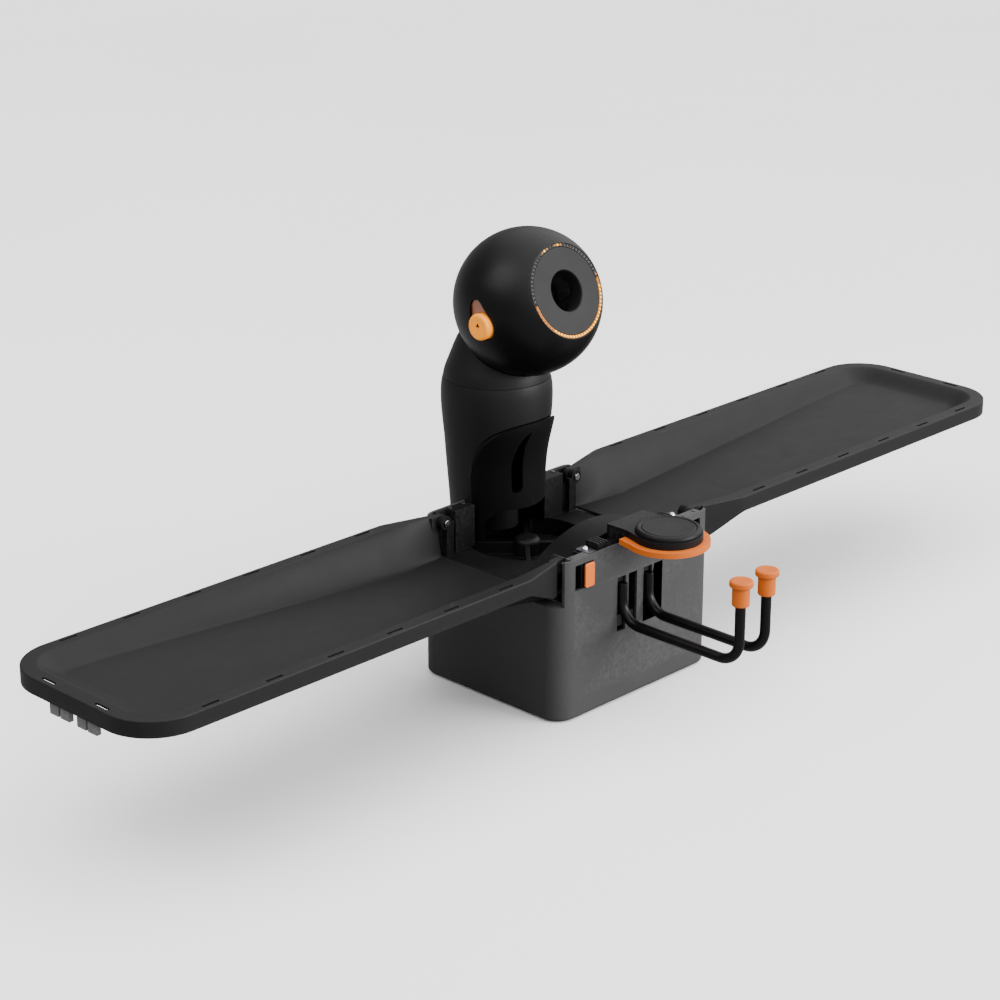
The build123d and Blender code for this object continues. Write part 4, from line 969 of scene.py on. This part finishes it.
# =================================================================================================
# Everything else: rounded copies of the CAD nodes
# =================================================================================================
EDGES = {
    "base_shell": 1.1,
    "bottom_cover": 0.8,
    "rubber_feet": 0.3,
    "hopper_deck": 0.7,
    "column_shell": 0.5,
    "column_cover": 0.6,
    "neck_cradle": 0.5,
    "clamp_plate": 0.9,
    "clamp_pad": 1.2,
    "clamp_blocks": 0.6,
    "clamp_brackets": 0.5,
    "latch_housings": 0.4,
    "hook_guides": 0.4,
    "slot_blocks": 0.6,
    "net_lugs_left": 0.5,
    "net_lugs_right": 0.5,
    "battery_pack": 1.2,
    "feeder_wheel": 0.5,
    "yoke": 0.5,
    "chassis_plates": 0.3,
}
DONE = {
    "tray_left", "tray_right", "head_shell_left", "head_shell_right", "muzzle", "light_ring", "led_beads",
    "side_discs", "side_marks", "side_lenses", "clamp_puck", "hook_rod_left", "hook_rod_right",
    "hook_cap_left", "hook_cap_right", "button_left", "button_right",
}
OWN_LOOK = {
    "net_lugs_left": LUG_PLASTIC,
    "net_lugs_right": LUG_PLASTIC,
    "column_shell": COLUMN_PLASTIC,
    "neck_cradle": COLUMN_PLASTIC,
}
SMALL_EDGE = 0.25
for node in sorted(NODES):
    if node not in DONE:
        from_node(node, EDGES.get(node, SMALL_EDGE), OWN_LOOK.get(node))

# =================================================================================================
# Floor, light and camera
# =================================================================================================
bm = bmesh.new()
bmesh.ops.create_grid(bm, x_segments=2, y_segments=2, size=14.0)
floor_data = bpy.data.meshes.new("floor")
bm.to_mesh(floor_data)
bm.free()
floor = bpy.data.objects.new("floor", floor_data)
bpy.context.scene.collection.objects.link(floor)
g = Graph("floor_paint")
shade = g.noise(1.2, 2.0)
tone = g.ramp(shade, "Fac", ((0.3, 0.90), (0.7, 0.93)))
# Painted shade: the floor is pale only to camera rays and dark grey to every other ray, so it throws less light
# and darker reflections onto the machine than its look suggests
rays = g.add("ShaderNodeLightPath")
pale_to_camera_dark_to_bounce = g.mix(rays.outputs["Is Camera Ray"], (0.26, 0.26, 0.26), tone.outputs["Color"])
g.tree.links.new(pale_to_camera_dark_to_bounce, g.bsdf.inputs["Base Color"])
g.bsdf.inputs["Roughness"].default_value = 0.9
g.bsdf.inputs["Specular IOR Level"].default_value = 0.1
floor_data.materials.append(g.mat)


def sky():
    """Soft studio surround: bright overhead and behind, dim on the side of the near tray."""
    world = bpy.data.worlds.new("studio")
    bpy.context.scene.world = world
    world.use_nodes = True
    tree = world.node_tree
    back = tree.nodes["Background"]
    coord = tree.nodes.new("ShaderNodeTexCoord")
    aim = tree.nodes.new("ShaderNodeVectorMath")
    aim.operation = "DOT_PRODUCT"
    aim.inputs[1].default_value = (0.35, -0.55, 0.76)
    tree.links.new(coord.outputs["Generated"], aim.inputs[0])
    shift = tree.nodes.new("ShaderNodeMath")
    shift.operation = "MULTIPLY_ADD"
    shift.inputs[1].default_value = 0.5
    shift.inputs[2].default_value = 0.5
    tree.links.new(aim.outputs["Value"], shift.inputs[0])
    ramp = tree.nodes.new("ShaderNodeValToRGB")
    ramp.color_ramp.elements[0].position = 0.50
    ramp.color_ramp.elements[0].color = (0.10, 0.10, 0.10, 1.0)
    ramp.color_ramp.elements[1].position = 0.95
    ramp.color_ramp.elements[1].color = (1.0, 1.0, 1.0, 1.0)
    tree.links.new(shift.outputs["Value"], ramp.inputs["Fac"])
    tree.links.new(ramp.outputs["Color"], back.inputs["Color"])
    back.inputs["Strength"].default_value = 3.6


sky()


def softbox(name, place, target, size, power):
    """Rectangular studio light aimed at a point, in metres."""
    data = bpy.data.lights.new(name, "AREA")
    data.shape = "RECTANGLE"
    data.size = size[0]
    data.size_y = size[1]
    data.energy = power
    lamp = bpy.data.objects.new(name, data)
    lamp.location = place
    way = Vector(target) - Vector(place)
    lamp.rotation_euler = way.to_track_quat("-Z", "Y").to_euler()
    bpy.context.scene.collection.objects.link(lamp)


softbox("key_front", (1.6, -3.2, 1.0), (0, 0, 0.2), (2.4, 1.4), 165)
softbox("top_left", (-2.0, 0.55, 2.5), (0, 0, 0.4), (1.8, 1.8), 45)

# The photograph's camera: its place in metres, its aim, and a level horizon
EYE = Vector((-1.95536, -1.80696, 1.19397))
forward = Vector((0.67014, 0.65409, -0.35083))
right = Vector((0.6986, -0.7155, 0.0)).normalized()
up = right.cross(forward).normalized()
turn = Matrix((right, up, -forward)).transposed().to_4x4()
camera = bpy.data.objects.new("photo_view", bpy.data.cameras.new("photo_view"))
camera.matrix_world = Matrix.Translation(EYE) @ turn
camera.data.lens = 93.80
camera.data.sensor_width = 36.0
camera.data.clip_end = 60.0
camera.data.dof.use_dof = False
bpy.context.scene.collection.objects.link(camera)
bpy.context.scene.camera = camera
